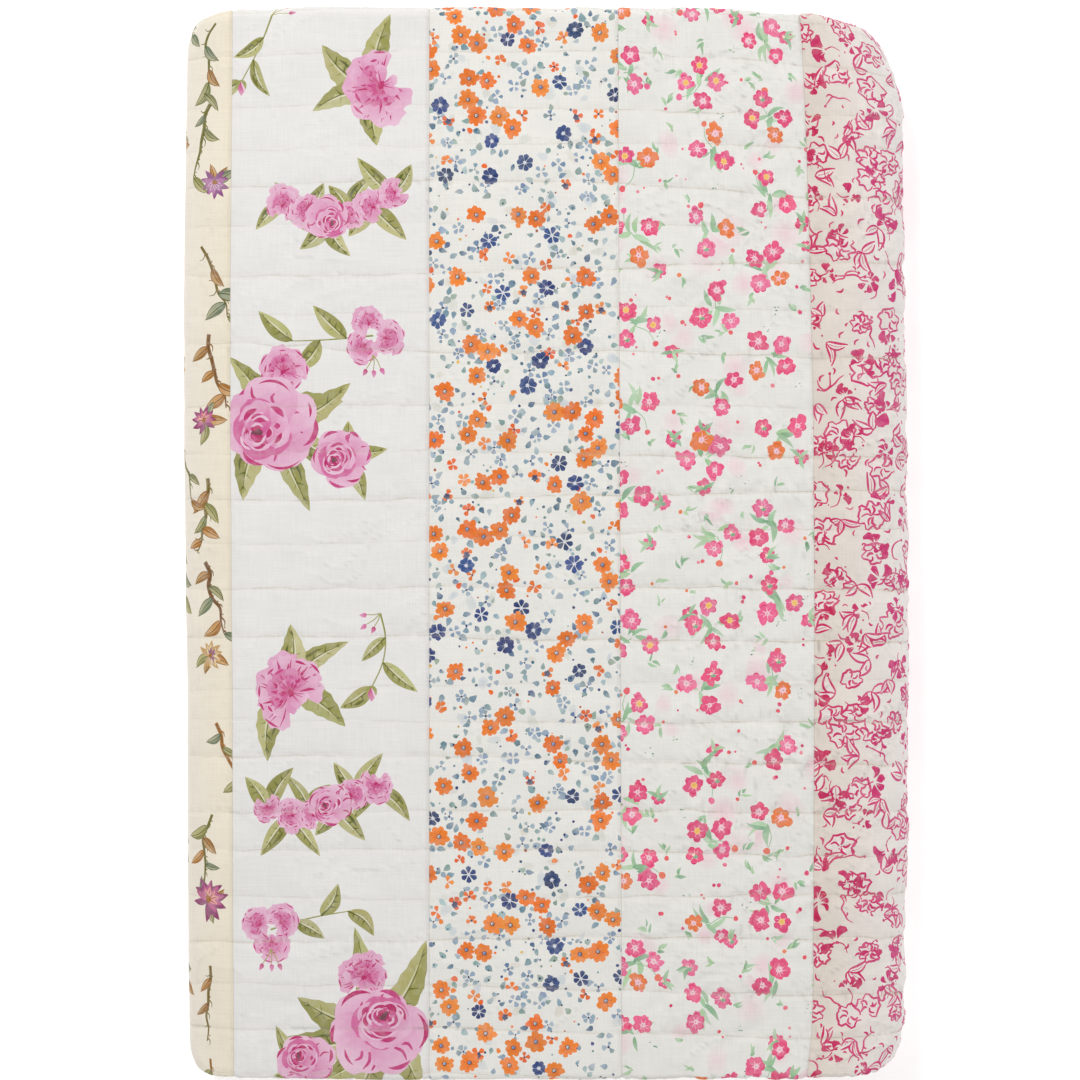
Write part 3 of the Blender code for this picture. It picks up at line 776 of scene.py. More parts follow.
def carmine(box, seed, fine=True):
    d = Drawing(seed)
    rng = d.rng
    x0, x1, y0, y1 = box
    wide = (x0 - 3, x1 + 3, y0 - 3, y1 + 3)
    area = (x1 - x0) * (y1 - y0)
    for x, y in scattered(rng, wide, int(area / (305 if fine else 560)), 12.5):
        pick = rng.random()
        if pick < 0.42:
            outline_bloom(d, x, y, rng.uniform(6.5, 10.5), rng.uniform(0, 6.28))
        elif pick < 0.80:
            t = rng.uniform(0, 6.28)
            for k in range(rng.choice((2, 3))):
                outline_leaf(d, x, y, t + k * rng.uniform(0.7, 1.3), rng.uniform(9, 15), rng.uniform(3.5, 6))
        else:
            t = rng.uniform(0, 6.28)
            pts = [(x, y)]
            for k in range(5):
                t += rng.uniform(-1.2, 1.2)
                pts.append((pts[-1][0] + 4.0 * math.cos(t), pts[-1][1] + 4.0 * math.sin(t)))
            d.stroke(pts, 0.5, 0.5, carmine_ink(d, x), swell=0.7, n=4)
            d.add(d.round(pts[-1][0], pts[-1][1], 1.0, 6), carmine_ink(d, x))
    for x, y in scattered(rng, wide, int(area / (200 if fine else 520)), 7.0):
        t = rng.uniform(0, 6.28)
        long = rng.uniform(2, 6)
        d.stroke([(x, y), (x + long * 0.5 * math.cos(t + 0.6), y + long * 0.5 * math.sin(t + 0.6)), (x + long * math.cos(t), y + long * math.sin(t))],
                 0.5, 0.4, carmine_ink(d, x), swell=rng.uniform(0.4, 1.2), n=3)
    for x, y in scattered(rng, wide, int(area / 760), 21.0):
        solid_sprig(d, x, y, rng.uniform(0, 6.28), rng.uniform(8.0, 12.5))
    return d


# ---- big garden roses with olive leaves
def olive_leaf(d, x0, y0, x1, y1, wide, bend=0.08, dark=0.5, saw=0.0):
    rng = d.rng
    light = colour(rng.choice(("C3C089", "BDBA80", "C9C594")), rng=rng, amount=0.03)
    mid_ink, deep = colour(rng.choice(("95934B", "8B8A44", "9C9A55"))), colour(rng.choice(("6C6E30", "737437", "646A34")))
    long = math.hypot(x1 - x0, y1 - y0)
    n = 12 if long > 12 else 8
    outline, mid, (left, right) = d.leaf(x0, y0, x1, y1, wide, bend, n=n, saw=saw)
    d.add(outline, light, mixed(light, mid_ink, 0.35), (x1, y1, x0, y0))
    # One side is shaded with an uneven inner edge.
    side = left if rng.random() < 0.5 else right
    inner = []
    for k, (m, s) in enumerate(zip(mid, side)):
        f = (0.30 if k % 2 else -0.12) * (0.6 + 0.5 * math.sin(k * 1.9 + x0))
        inner.append((m[0] + (s[0] - m[0]) * f, m[1] + (s[1] - m[1]) * f))
    shade = list(side[1:-1])
    d.add([mid[0]] + shade + [mid[-1]] + inner[1:-1][::-1], mid_ink, mixed(mid_ink, light, 0.3), (x0, y0, x1, y1))
    other = right if side is left else left
    for k in range(2, n - 1, 2):  # veins run forward from the midrib
        for edge, ink, reach in ((side, deep, 0.72), (other, mid_ink, 0.62)):
            if rng.random() < 0.75:
                m, e = mid[k], edge[min(k + 1, n)]
                q = (m[0] + (e[0] - m[0]) * reach, m[1] + (e[1] - m[1]) * reach)
                d.add(d.ribbon([m, q], 1.1 if long > 16 else 0.6, 0.25), ink)
    d.add(d.ribbon(mid[:-1], 1.2 if long > 16 else 0.7, 0.35), deep)
    if long > 14:  # light catches beside the midrib
        d.add(d.ribbon([(m[0] * 0.86 + s[0] * 0.14, m[1] * 0.86 + s[1] * 0.14) for m, s in zip(mid, other)][2:-3], 0.3, 0.3, 0.7), mixed(light, colour("F0EEDC"), 0.55))
    if rng.random() < 0.5 and long > 14:  # an accent on the shaded side
        k = n // 2
        a = [(m[0] + (s[0] - m[0]) * 0.55, m[1] + (s[1] - m[1]) * 0.55) for m, s in zip(mid, side)][k - 2:k + 3]
        d.add(d.ribbon(a, 0.4, 0.4, 1.5), deep)


def stem(d, points, w0=1.3, w1=0.8, tone="A9A862"):
    d.stroke(points, w0, w1, colour(tone))
    d.stroke([(x + 0.25, y - 0.2) for x, y in points], w0 * 0.35, w1 * 0.3, colour("767C3C"))


ROSE_PALE, ROSE_LIGHT, ROSE_MID, ROSE_DEEP, ROSE_DARK = "F0CBDF", "E49FC4", "D65F9B", "BE2E68", "7A4A56"


def rose(d, x, y, r, face=0.0, pale=0.0):
    """An open rose: a loose pale skirt, a cup of unequal crescents and a dark heart off its middle."""
    rng = d.rng
    light, pinkish, mid, deep = (colour(c) for c in (ROSE_PALE, ROSE_LIGHT, ROSE_MID, ROSE_DEEP))
    light, mid, deep = mixed(light, colour("FFFFFF"), pale * 0.2), mixed(mid, pinkish, pale), mixed(deep, mid, pale * 0.8)
    hx, hy = x + 0.20 * r * math.cos(face + 1.0), y + 0.20 * r * math.sin(face + 1.0)
    n = rng.choice((6, 7))
    for k in range(n):
        t = face + 2 * math.pi * (k + rng.uniform(-0.2, 0.2)) / n
        px_, py_ = x + r * 0.48 * math.cos(t), y + r * 0.45 * math.sin(t)
        size = r * rng.uniform(0.44, 0.60)
        outline = d.petals(px_, py_, size, 3, 0.20, t + rng.uniform(-0.5, 0.5), per=7, uneven=0.14, sharp=0.8, rough=0.03)
        d.add(outline, mixed(pinkish, light, rng.uniform(0.3, 0.95)), mixed(pinkish, mid, rng.uniform(0.1, 0.6)), (px_ + size * 0.7 * math.cos(t), py_ + size * 0.7 * math.sin(t), x, y))
        t0 = t - rng.uniform(0.7, 1.2)
        d.arc(px_, py_, size * rng.uniform(0.78, 0.9), t0, t0 + rng.uniform(0.8, 1.8), rng.uniform(0.05, 0.13) * r, mixed(deep, mid, rng.uniform(0.1, 0.6)), n=8, flat=0.95)
        for _ in range(rng.choice((1, 2, 3))):  # brushed streaks towards the heart
            u = t + rng.uniform(-0.5, 0.5)
            a, b = r * rng.uniform(0.42, 0.55), r * rng.uniform(0.62, 0.88)
            line = d.curve([(x + a * math.cos(u), y + a * math.sin(u)), (x + (a + b) / 2 * math.cos(u + 0.10), y + (a + b) / 2 * math.sin(u + 0.10)), (x + b * math.cos(u), y + b * math.sin(u))], 3)
            d.add(d.ribbon(line, 0.045 * r, 0.015 * r, 0.035 * r), mixed(deep, mid, rng.uniform(0.2, 0.8)))
    # The mass of the cup, darkest on the heart's side.
    d.add(d.petals(hx, hy, r * 0.60, 5, 0.16, face, per=7, uneven=0.14, rough=0.03), mixed(deep, mid, 0.25), mixed(mid, pinkish, 0.25), (hx, hy, r * 0.6))
    for k in range(4):
        t = face + 3.6 + k * 0.75 + rng.uniform(-0.2, 0.2)
        cx, cy = hx + r * 0.30 * math.cos(t), hy + r * 0.30 * math.sin(t)
        d.add(d.petals(cx, cy, r * rng.uniform(0.26, 0.34), 3, 0.2, t, per=6, uneven=0.15, rough=0.03), mixed(pinkish, light, rng.uniform(0.1, 0.6)), mixed(mid, pinkish, rng.uniform(0.0, 0.5)), (cx + r * 0.2 * math.cos(t), cy + r * 0.2 * math.sin(t), hx, hy))
    for ring, (share, count, thick) in enumerate(((0.52, 4, 0.13), (0.41, 4, 0.13), (0.31, 3, 0.12), (0.21, 3, 0.09), (0.12, 2, 0.06))):
        cx, cy = hx + 0.04 * r * ring * math.cos(face + 1.2) + rng.uniform(-0.03, 0.03) * r, hy + 0.04 * r * ring * math.sin(face + 1.2) + rng.uniform(-0.03, 0.03) * r
        for k in range(count):
            t0 = face + ring * 1.1 + 2 * math.pi * (k + rng.uniform(-0.3, 0.3)) / count
            span = rng.uniform(0.5, 1.15) * 2 * math.pi / count
            q = share * rng.uniform(0.90, 1.08)
            d.arc(cx, cy, r * q, t0, t0 + span, thick * r * rng.uniform(0.6, 1.1), mixed(light, pinkish, rng.uniform(0.0, 0.9)), n=7, flat=rng.uniform(0.78, 0.92), turn=face * 0.3)
            d.arc(cx, cy, r * (q - rng.uniform(0.03, 0.06)), t0 + 0.15, t0 + span * rng.uniform(0.6, 1.0), thick * r * rng.uniform(0.5, 1.1), mixed(deep, mid, rng.uniform(0.0, 0.5)), n=7, flat=rng.uniform(0.78, 0.9), turn=face * 0.3)
    heart = colour(ROSE_DARK if pale < 0.5 else "B77A92")
    tx, ty = hx + 0.12 * r * math.cos(face + 1.2), hy + 0.12 * r * math.sin(face + 1.2)
    d.add(d.round(tx, ty, r * 0.16, 9, uneven=0.35, flat=0.6, turn=face), colour(ROSE_DEEP))
    d.add(d.round(tx, ty, r * 0.115, 8, uneven=0.5, flat=0.55, turn=face + 0.3), heart)


def ruffle(d, x, y, r, face=0.0, tone=0.0):
    """A full ragged flower seen from the side: a pale skirt, darker inner petals fanning from a low heart."""
    rng = d.rng
    light, pinkish, mid, deep = (colour(c) for c in (ROSE_PALE, ROSE_LIGHT, ROSE_MID, ROSE_DEEP))
    hx, hy = x - r * 0.22 * math.cos(face), y - r * 0.22 * math.sin(face)
    for layer, (reach, count, spread) in enumerate(((1.0, 6, 2.5), (0.82, 6, 2.0), (0.60, 5, 1.7), (0.40, 4, 1.5))):
        for k in rng.sample(range(count), count):
            t = face + (k - (count - 1) / 2) * spread * 2 / count + rng.uniform(-0.12, 0.12)
            long = r * reach * (1.24 - 0.26 * abs(k - (count - 1) / 2) / (count / 2)) * rng.uniform(0.86, 1.08)
            ex, ey = hx + long * math.cos(t), hy + long * math.sin(t)
            outline = []
            half = spread / count * rng.uniform(1.05, 1.4)
            waves = rng.uniform(1.0, 2.2)
            for q in range(11):
                u = t - half + 2 * half * q / 10
                rr = long * (0.88 + 0.12 * math.sin(math.pi * q / 10)) * (1 + 0.035 * math.sin(q * waves + k) + rng.uniform(-0.015, 0.015))
                outline.append((hx + rr * math.cos(u), hy + rr * math.sin(u)))
            outline += [(hx + long * 0.3 * math.cos(t + half * 0.7), hy + long * 0.3 * math.sin(t + half * 0.7)), (hx, hy), (hx + long * 0.3 * math.cos(t - half * 0.7), hy + long * 0.3 * math.sin(t - half * 0.7))]
            tip = mixed(light if layer < 2 else pinkish, pinkish if layer < 2 else mid, rng.uniform(0.0, 0.7))
            root = mixed(mid if layer < 2 else deep, pinkish if layer < 1 else mid, rng.uniform(0.2, 0.7) * (1 - 0.3 * tone))
            d.add(outline, mixed(root, light, 0.25 * tone), tip, (hx, hy, ex, ey))
            for _ in range(4 if r > 14 else 2):
                u = t + rng.uniform(-half, half) * 0.8
                a, b = long * rng.uniform(0.2, 0.5), long * rng.uniform(0.66, 0.94)
                d.add(d.ribbon([(hx + a * math.cos(u), hy + a * math.sin(u)), (hx + (a + b) / 2 * math.cos(u + 0.05), hy + (a + b) / 2 * math.sin(u + 0.05)), (hx + b * math.cos(u), hy + b * math.sin(u))],
                               0.03 * r, 0.012 * r, rng.uniform(0.02, 0.06) * r), mixed(deep, mid, rng.uniform(0.0, 0.8) + 0.1 * tone))
            if rng.random() < 0.5 and r > 8:  # a curled rim
                d.arc(hx, hy, long * 0.93, t - half * 0.6, t + half * rng.uniform(0.1, 0.6), 0.07 * r, mixed(deep, mid, rng.uniform(0.2, 0.7)), n=5)
    for _ in range(5):
        t = face + math.pi + rng.uniform(-1.2, 1.2)
        long = r * rng.uniform(0.35, 0.62)
        d.add(d.leaf(hx + long * math.cos(t), hy + long * math.sin(t), hx, hy, r * 0.30, 0.1, n=6, tip=0.8)[0], mixed(pinkish, light, rng.uniform(0, 1)), mixed(pinkish, mid, 0.5), (hx + long * math.cos(t), hy + long * math.sin(t), hx, hy))
        d.add(d.ribbon([(hx, hy), (hx + long * 0.7 * math.cos(t + 0.1), hy + long * 0.7 * math.sin(t + 0.1))], 0.05 * r, 0.01 * r), mixed(deep, mid, 0.4))
    d.add(d.round(hx, hy, r * 0.11, 7, uneven=0.4), mixed(deep, mid, 0.1))


def bud(d, x, y, angle, size):
    ex, ey = x + size * math.cos(angle), y + size * math.sin(angle)
    d.add(d.leaf(x, y, ex, ey, size * 0.62, 0.0, n=8, tip=0.85)[0], colour(ROSE_DEEP), colour(ROSE_LIGHT), (x, y, ex, ey))
    d.add(d.leaf(x, y, x + size * 0.85 * math.cos(angle + 0.25), y + size * 0.85 * math.sin(angle + 0.25), size * 0.22, 0.1, n=6)[0], colour(ROSE_PALE))
    for turn in (-0.55, 0.5):
        d.add(d.leaf(x - 1.2 * math.cos(angle), y - 1.2 * math.sin(angle), x + size * 0.66 * math.cos(angle + turn), y + size * 0.66 * math.sin(angle + turn), size * 0.26, turn * 0.25, n=6)[0], colour("9A9C54"), colour("BDBB80"), (x, y, ex, ey))


def droplet_spray(d, x, y, angle, count=4, size=5.0, tone=ROSE_LIGHT):
    """Thin twigs with small pink drops."""
    rng = d.rng
    for k in range(count):
        t = angle + (k - (count - 1) / 2) * 0.5 + rng.uniform(-0.12, 0.12)
        long = rng.uniform(8, 13)
        ex, ey = x + long * math.cos(t), y + long * math.sin(t)
        d.stroke([(x, y), (x + long * 0.5 * math.cos(t + 0.12), y + long * 0.5 * math.sin(t + 0.12)), (ex, ey)], 0.7, 0.5, colour("A9A862"))
        d.add(d.leaf(ex, ey, ex + size * math.cos(t), ey + size * math.sin(t), size * 0.6, 0.05, n=6, tip=0.8)[0], colour(rng.choice((ROSE_MID, ROSE_DEEP))), colour(tone), (ex, ey, ex + size * math.cos(t), ey + size * math.sin(t)))


# The rose strip's layout is the builder's own: these groups follow each other down the cloth, from side to side.
ROSE_GROUPS = (("great", 108.0), ("spray", 44.0), ("single", 70.0), ("garland", 78.0), ("posy", 58.0))


def leaf_fan(d, x, y, count, face, spread, long, wide):
    """Leaves spread about a direction, each a little different."""
    rng = d.rng
    for k in range(count):
        t = face + (k - (count - 1) / 2) * spread / max(count - 1, 1) + rng.uniform(-0.16, 0.16)
        reach = long * rng.uniform(0.75, 1.1)
        olive_leaf(d, x, y, x + reach * math.cos(t), y + reach * math.sin(t), wide * rng.uniform(0.8, 1.1),
                   rng.uniform(-0.12, 0.12), dark=rng.uniform(0.4, 0.9), saw=0.06 if wide > 11 else 0.0)


def leafy_twig(d, x, y, face, long, leaf, wide):
    """A bowed stem with leaves left and right of it; gives its end."""
    rng = d.rng
    bow = rng.uniform(-0.5, 0.5)
    line = [(x + long * s * math.cos(face + bow * s), y + long * s * math.sin(face + bow * s)) for s in (0, 0.33, 0.66, 1.0)]
    stem(d, line, 1.2, 0.6)
    for k, (lx, ly) in enumerate(line[1:]):
        t = face + bow * (k + 1) / 3 + (0.85 if k % 2 else -0.85) + rng.uniform(-0.25, 0.25)
        reach = leaf * rng.uniform(0.75, 1.1)
        olive_leaf(d, lx, ly, lx + reach * math.cos(t), ly + reach * math.sin(t), wide * rng.uniform(0.8, 1.1), rng.uniform(-0.14, 0.14), dark=rng.uniform(0.4, 0.9))
    return line[-1]


def roses(box, seed, fine=True):
    d = Drawing(seed)
    rng = d.rng
    x0, x1, y0, y1 = box
    y, turn, side = y1 - rng.uniform(10, 40), rng.randint(0, 4), rng.choice((-1, 1))
    while y > y0 - 50:
        kind, room = ROSE_GROUPS[turn % len(ROSE_GROUPS)]
        x = 0.5 * (x0 + x1) + side * (x1 - x0) * rng.uniform(0.20, 0.30)
        inward = math.pi if side > 0 else 0.0
        if kind == "great":
            leaf_fan(d, x, y, 4, inward - 0.9, 2.2, 60, 20)
            leaf_fan(d, x, y, 3, inward + 1.3, 1.5, 57, 19)
            cx, cy = x - side * 45, y - 20
            leaf_fan(d, cx, cy, 3, inward + 0.3, 2.6, 30, 11)
            ruffle(d, x - side * 8, y + 36, 15.0, 1.4, 0.3)
            rose(d, cx, cy, rng.uniform(18, 21), rng.uniform(0, 6.28))
            rose(d, x, y, rng.uniform(30, 33), rng.uniform(0, 6.28))
        elif kind == "single":
            leaf_fan(d, x, y, 4, inward + rng.uniform(-0.6, 0.6), 3.4, 46, 17)
            ruffle(d, x, y, rng.uniform(21, 24), rng.uniform(0, 6.28), 0.1)
        elif kind == "garland":
            places = [(x - side * 13.5 * k, y + 9 * math.sin(k * 0.8 + turn)) for k in range(6)]
            for k, (gx, gy) in enumerate(places):
                leaf_fan(d, gx, gy, 2, 1.57 if k % 2 else -1.57, 1.3, 29, 11)
            for k, (gx, gy) in enumerate(places):
                if k != 2:
                    ruffle(d, gx, gy, rng.uniform(8.5, 11.5), rng.uniform(0, 6.28), rng.uniform(0.0, 0.8))
            rose(d, *places[2], 14.5, rng.uniform(0, 6.28))
        elif kind == "spray":
            ex, ey = leafy_twig(d, x, y, -1.2 * side if side > 0 else -1.9, 46, 27, 10)
            bud(d, ex, ey, -1.57, 9.0)
            droplet_spray(d, x, y, inward + 0.6, 3, 5.0)
        else:
            leafy_twig(d, x, y, inward + rng.uniform(-0.5, 0.5), 50, 27, 11)
            for k in range(3):
                t = 2.1 * k + turn
                ruffle(d, x + 10 * math.cos(t), y + 10 * math.sin(t), rng.uniform(9, 11.5), t, rng.uniform(0.2, 0.8))
            droplet_spray(d, x, y - 12, -1.57, 3, 5.0)
        y -= room * rng.uniform(0.94, 1.08)
        turn += 1
        side = -side
    return d


# ---- cream cloth with brown twigs and a few exotic flowers
TWIG_TONES = ("8A6232", "7F5A30", "A9773B", "7C7A3C", "8A7A46")
LEAF_TONES = (("B8864A", "7F5A30"), ("A7A46A", "6F7136"), ("9A9C6A", "5F6336"), ("C98F4C", "8A5A28"), ("8F9A80", "5A6644"))
FAN_INKS = (("8C4A84", "B672A4", "D9A9CB"), ("8E3468", "C25A90", "F0A79A"), ("CDB6D0", "F0E8EE", "9A4C86"), ("C79B5A", "E9CF9A", "8C4A84"))


def twig(d, line, tone, dots, w):
    d.stroke(line, w * 1.45, 0.7, colour(tone), swell=0.7)
    d.stroke([(x + 0.2, y - 0.35) for x, y in line], w * 0.5, 0.2, mixed(colour(tone), colour("5A3A1C"), 0.6))
    path = d.curve(line, 3)
    for k in range(2, len(path) - 1, 3):
        (x, y), (x2, y2) = path[k], path[k + 1]
        t = math.atan2(y2 - y, x2 - x) + d.rng.choice((-0.9, 0.9, 0.7))
        long = d.rng.uniform(3.0, 7.0)
        d.stroke([(x, y), (x + long * 0.6 * math.cos(t), y + long * 0.6 * math.sin(t)), (x + long * math.cos(t - 0.4), y + long * math.sin(t - 0.4))], w * 0.7, 0.35, colour(tone), n=3)
        if dots:
            d.add(d.round(x - 2.0 * math.sin(t), y + 2.0 * math.cos(t), 0.55, 6), colour(tone))


def brown_leaf(d, x0, y0, x1, y1, wide, tones):
    outline, mid, (left, right) = d.leaf(x0, y0, x1, y1, wide, d.rng.uniform(-0.15, 0.15), n=9)
    d.add(outline, colour(tones[0]), mixed(colour(tones[0]), colour("EAD9B0"), 0.5), (x0, y0, x1, y1))
    d.add([mid[0]] + list(left[1:-1]) + [mid[-1]] + [((m[0] * 2 + s[0]) / 3, (m[1] * 2 + s[1]) / 3) for m, s in zip(mid, left)][1:-1][::-1], mixed(colour(tones[0]), colour(tones[1]), 0.55))
    d.add(d.ribbon(mid, 0.9, 0.35), colour(tones[1]))
    d.add(d.ribbon(right[:-1], 0.5, 0.4), colour(tones[1]))


def fan(d, x, y, r, face, inks):
    """A pointed, many-petalled flower in the inks given, outer petals first."""
    rng = d.rng
    for layer, (reach, count, spread) in enumerate(((1.0, 9, 2.7), (0.8, 7, 2.1), (0.55, 5, 1.5))):
        for k in range(count):
            t = face + (k - (count - 1) / 2) * spread * 2 / count + rng.uniform(-0.08, 0.08)
            long = r * reach * rng.uniform(0.85, 1.08)
            ex, ey = x + long * math.cos(t), y + long * math.sin(t)
            a, b = colour(inks[layer % len(inks)]), colour(inks[(layer + 1) % len(inks)])
            d.add(d.leaf(x, y, ex, ey, long * 0.40, rng.uniform(-0.1, 0.1), n=7)[0], mixed(a, colour("FFFFFF"), 0.15), a, (x, y, ex, ey))
            d.add(d.ribbon([(x, y), (x + long * 0.8 * math.cos(t), y + long * 0.8 * math.sin(t))], 0.8, 0.25), mixed(b, colour("5E2848"), 0.4))
    d.add(d.round(x, y, r * 0.16, 8, uneven=0.3), colour("A8743C"))


def creams(box, seed, fine=True):
    """The builder's own layout: lanes of wandering twigs with leaves, and a pointed flower now and then."""
    d = Drawing(seed)
    rng = d.rng
    x0, x1, y0, y1 = box
    lanes = max(int(round((x1 - x0) / (36.0 if fine else 60.0))), 1)
    for lane in range(lanes):
        middle = x1 - (lane + 0.45) * (x1 - x0) / lanes
        y, turn = y1 + rng.uniform(0, 25), rng.randint(0, 2)
        while y > y0 - 30:
            x = middle + rng.uniform(-6, 6)
            if turn % 3 == 2:
                for _ in range(3):
                    t = rng.uniform(0, 6.28)
                    long = rng.uniform(12, 17)
                    brown_leaf(d, x, y, x + long * math.cos(t), y + long * math.sin(t), long * 0.42, rng.choice(LEAF_TONES))
                fan(d, x, y, rng.uniform(9, 16), rng.uniform(0, 6.28), rng.choice(FAN_INKS))
                y -= rng.uniform(34, 44)
            else:
                line, t = [(x, y)], rng.choice((-2.1, -1.6, -1.1))
                for _ in range(6):
                    t += rng.uniform(-0.5, 0.5) + 0.35 * (-1.57 - t)
                    line.append((line[-1][0] + 8.0 * math.cos(t), line[-1][1] + 8.0 * math.sin(t)))
                twig(d, line, rng.choice(TWIG_TONES), fine and rng.random() < 0.5, rng.uniform(1.2, 2.1))
                for k, (lx, ly) in enumerate(line[1:]):
                    if rng.random() < 0.72:
                        a = -1.57 + (0.95 if k % 2 else -0.95) + rng.uniform(-0.35, 0.35)
                        long = rng.uniform(11, 19)
                        brown_leaf(d, lx, ly, lx + long * math.cos(a), ly + long * math.sin(a), long * rng.uniform(0.34, 0.48), rng.choice(LEAF_TONES))
                y -= rng.uniform(48, 60)
            turn += 1
    return d


KINDS = ("cream", "rose", "ditsy", "sprig", "carmine")
MAKERS = {"cream": creams, "rose": roses, "ditsy": daisies, "sprig": sprigs, "carmine": carmine}


# =============================================================== cloth meshes
PRINTED = None  # the printed cotton's material, made below


def rounded(edge):
    """A turned hem's profile: nothing at the very edge, full thickness 1.5 mm in."""
    t = np.clip(edge / 1.5, 0, 1)
    return np.sqrt(np.clip(1 - (1 - t) ** 2, 0, 1))


def face_point(X, Y, mapping, edge_x=None):
    """The printed face's points in the world, with their relief."""
    a, b = mapping(X, Y)
    calm = smooth((a * 1e3) / 7.0) * smooth((FLAT_ACROSS - a) * 1e3 / 7.0)
    raised = CLOTH / 2 * rounded(a * 1e3) * rounded((FLAT_ACROSS - a) * 1e3)
    out = relief(X, Y) * 1e-3 * calm
    above = smooth((a - CROSS[1]["from"]) / 0.010)
    return fold(a, b, raised + 0.00006 + out * above + np.minimum(out, 0.0) * (1 - above))


def grid_lines(low, high, step):
    n = max(int(round((high - low) / step)), 1)
    return [low + (high - low) * k / n for k in range(n + 1)]


def crowded_lines(low, high, step, marks):
    """Grid lines a step apart, with closer ones at the marks (place, reach, fine step)."""
    out, at = [low], low
    while at < high - 1e-6:
        fine = min([s for m, reach, s in marks if abs(at - m) < reach] + [step])
        at = min(at + fine, high)
        out.append(at)
    if len(out) > 2 and out[-1] - out[-2] < 0.3:
        out.pop(-2)
    return out


def clipped(outline, x0, x1, y0, y1):
    """The outline's part inside a box."""
    for axis, limit, sign in ((0, x0, 1), (0, x1, -1), (1, y0, 1), (1, y1, -1)):
        out = []
        for k, p in enumerate(outline):
            q = outline[k - 1]
            dp, dq = (p[axis] - limit) * sign, (q[axis] - limit) * sign
            if (dp > 0) != (dq > 0):
                t = dq / (dq - dp)
                cut = [q[0] + (p[0] - q[0]) * t, q[1] + (p[1] - q[1]) * t]
                cut[axis] = limit
                out.append((cut[0], cut[1]))
            if dp > 0:
                out.append(p)
        outline = out
        if len(outline) < 3:
            return None
    clean = []
    for p in outline:
        p = (round(p[0], 3), round(p[1], 3))
        if not clean or p != clean[-1]:
            clean.append(p)
    while len(clean) > 1 and clean[0] == clean[-1]:
        clean.pop()
    return clean if len(clean) > 2 else None


def wound(points, outline):
    """Which points an outline goes round, whichever way it runs and where it crosses itself too."""
    ax, ay = outline[:, 0][None, :], outline[:, 1][None, :]
    bx, by = np.roll(ax, -1, axis=1), np.roll(ay, -1, axis=1)
    x, y = points[:, 0][:, None], points[:, 1][:, None]
    side = (bx - ax) * (y - ay) - (x - ax) * (by - ay)
    turns = ((ay <= y) & (by > y) & (side > 0)).sum(axis=1) - ((ay > y) & (by <= y) & (side < 0)).sum(axis=1)
    return turns != 0


def partition(xs, ys, outlines):
    """Triangles over a grid and the outlines on it: (X, Y, triangles, topmost outline or 0).

    Crowded places are cut into smaller tiles, which meet on the grid's own lines."""
    xs, ys = [round(v, 3) for v in xs], [round(v, 3) for v in ys]
    boxes = np.array([(min(p[0] for p in o), max(p[0] for p in o), min(p[1] for p in o), max(p[1] for p in o)) for o in outlines]).reshape(-1, 4)
    tiles = [(0, len(xs) - 1, 0, len(ys) - 1, np.arange(len(outlines)))]
    flats, tris, tops, done = [], [], [], 0
    while tiles:
        i0, i1, j0, j1, some = tiles.pop()
        x0, x1, y0, y1 = xs[i0], xs[i1], ys[j0], ys[j1]
        b = boxes[some]
        some = some[(b[:, 1] > x0) & (b[:, 0] < x1) & (b[:, 3] > y0) & (b[:, 2] < y1)]
        if len(some) > 26 and max(i1 - i0, j1 - j0) > 3 or (i1 - i0) * (j1 - j0) > 4000:
            if (x1 - x0) > (y1 - y0) and i1 - i0 > 1:
                c = (i0 + i1) // 2
                tiles += [(i0, c, j0, j1, some), (c, i1, j0, j1, some)]
            else:
                c = (j0 + j1) // 2
                tiles += [(i0, i1, j0, c, some), (i0, i1, c, j1, some)]
            continue
        points = [Vector((x, y)) for x in xs[i0:i1 + 1] for y in ys[j0:j1 + 1]]
        edges, parts = [], []
        for k in some:
            part = clipped(outlines[k], x0, x1, y0, y1)
            if part:
                start, n = len(points), len(part)
                points += [Vector(p) for p in part]
                edges += [(start + q, start + (q + 1) % n) for q in range(n)]
                parts.append((int(k) + 1, np.array(part)))
        verts, _, got, _, _, _ = delaunay_2d_cdt(points, edges, [], 0, 5e-4, False)
        flat = np.array([(v[0], v[1]) for v in verts])
        tri = np.array(got, dtype=np.int64)
        top = np.zeros(len(tri), dtype=np.int64)
        middle = flat[tri].mean(axis=1)
        for number, part in parts:
            low, high = part.min(axis=0), part.max(axis=0)
            m = np.flatnonzero(((middle > low) & (middle < high)).all(axis=1))
            if len(m):
                top[m[wound(middle[m], part)]] = number
        flats.append(flat)
        tris.append(tri + done)
        tops.append(top)
        done += len(flat)
    flat, tri, top = np.concatenate(flats), np.concatenate(tris), np.concatenate(tops)
    # Tiles share their border points.
    key = np.round(flat * 500).astype(np.int64)
    _, first, same = np.unique(key[:, 0] * 10000019 + key[:, 1], return_index=True, return_inverse=True)
    tri = same.ravel()[tri]
    flat = flat[first]
    ok = (tri[:, 0] != tri[:, 1]) & (tri[:, 1] != tri[:, 2]) & (tri[:, 0] != tri[:, 2])
    a, b, c = (flat[tri[:, k]] for k in range(3))
    ok &= np.abs((b[:, 0] - a[:, 0]) * (c[:, 1] - a[:, 1]) - (b[:, 1] - a[:, 1]) * (c[:, 0] - a[:, 0])) > 1e-6
    tri, top = tri[ok], top[ok]
    _, once = np.unique(np.sort(tri, axis=1), axis=0, return_index=True)
    tri, top = tri[once], top[once]
    used, tri = np.unique(tri, return_inverse=True)
    return flat[used][:, 0], flat[used][:, 1], tri.reshape(-1, 3), top


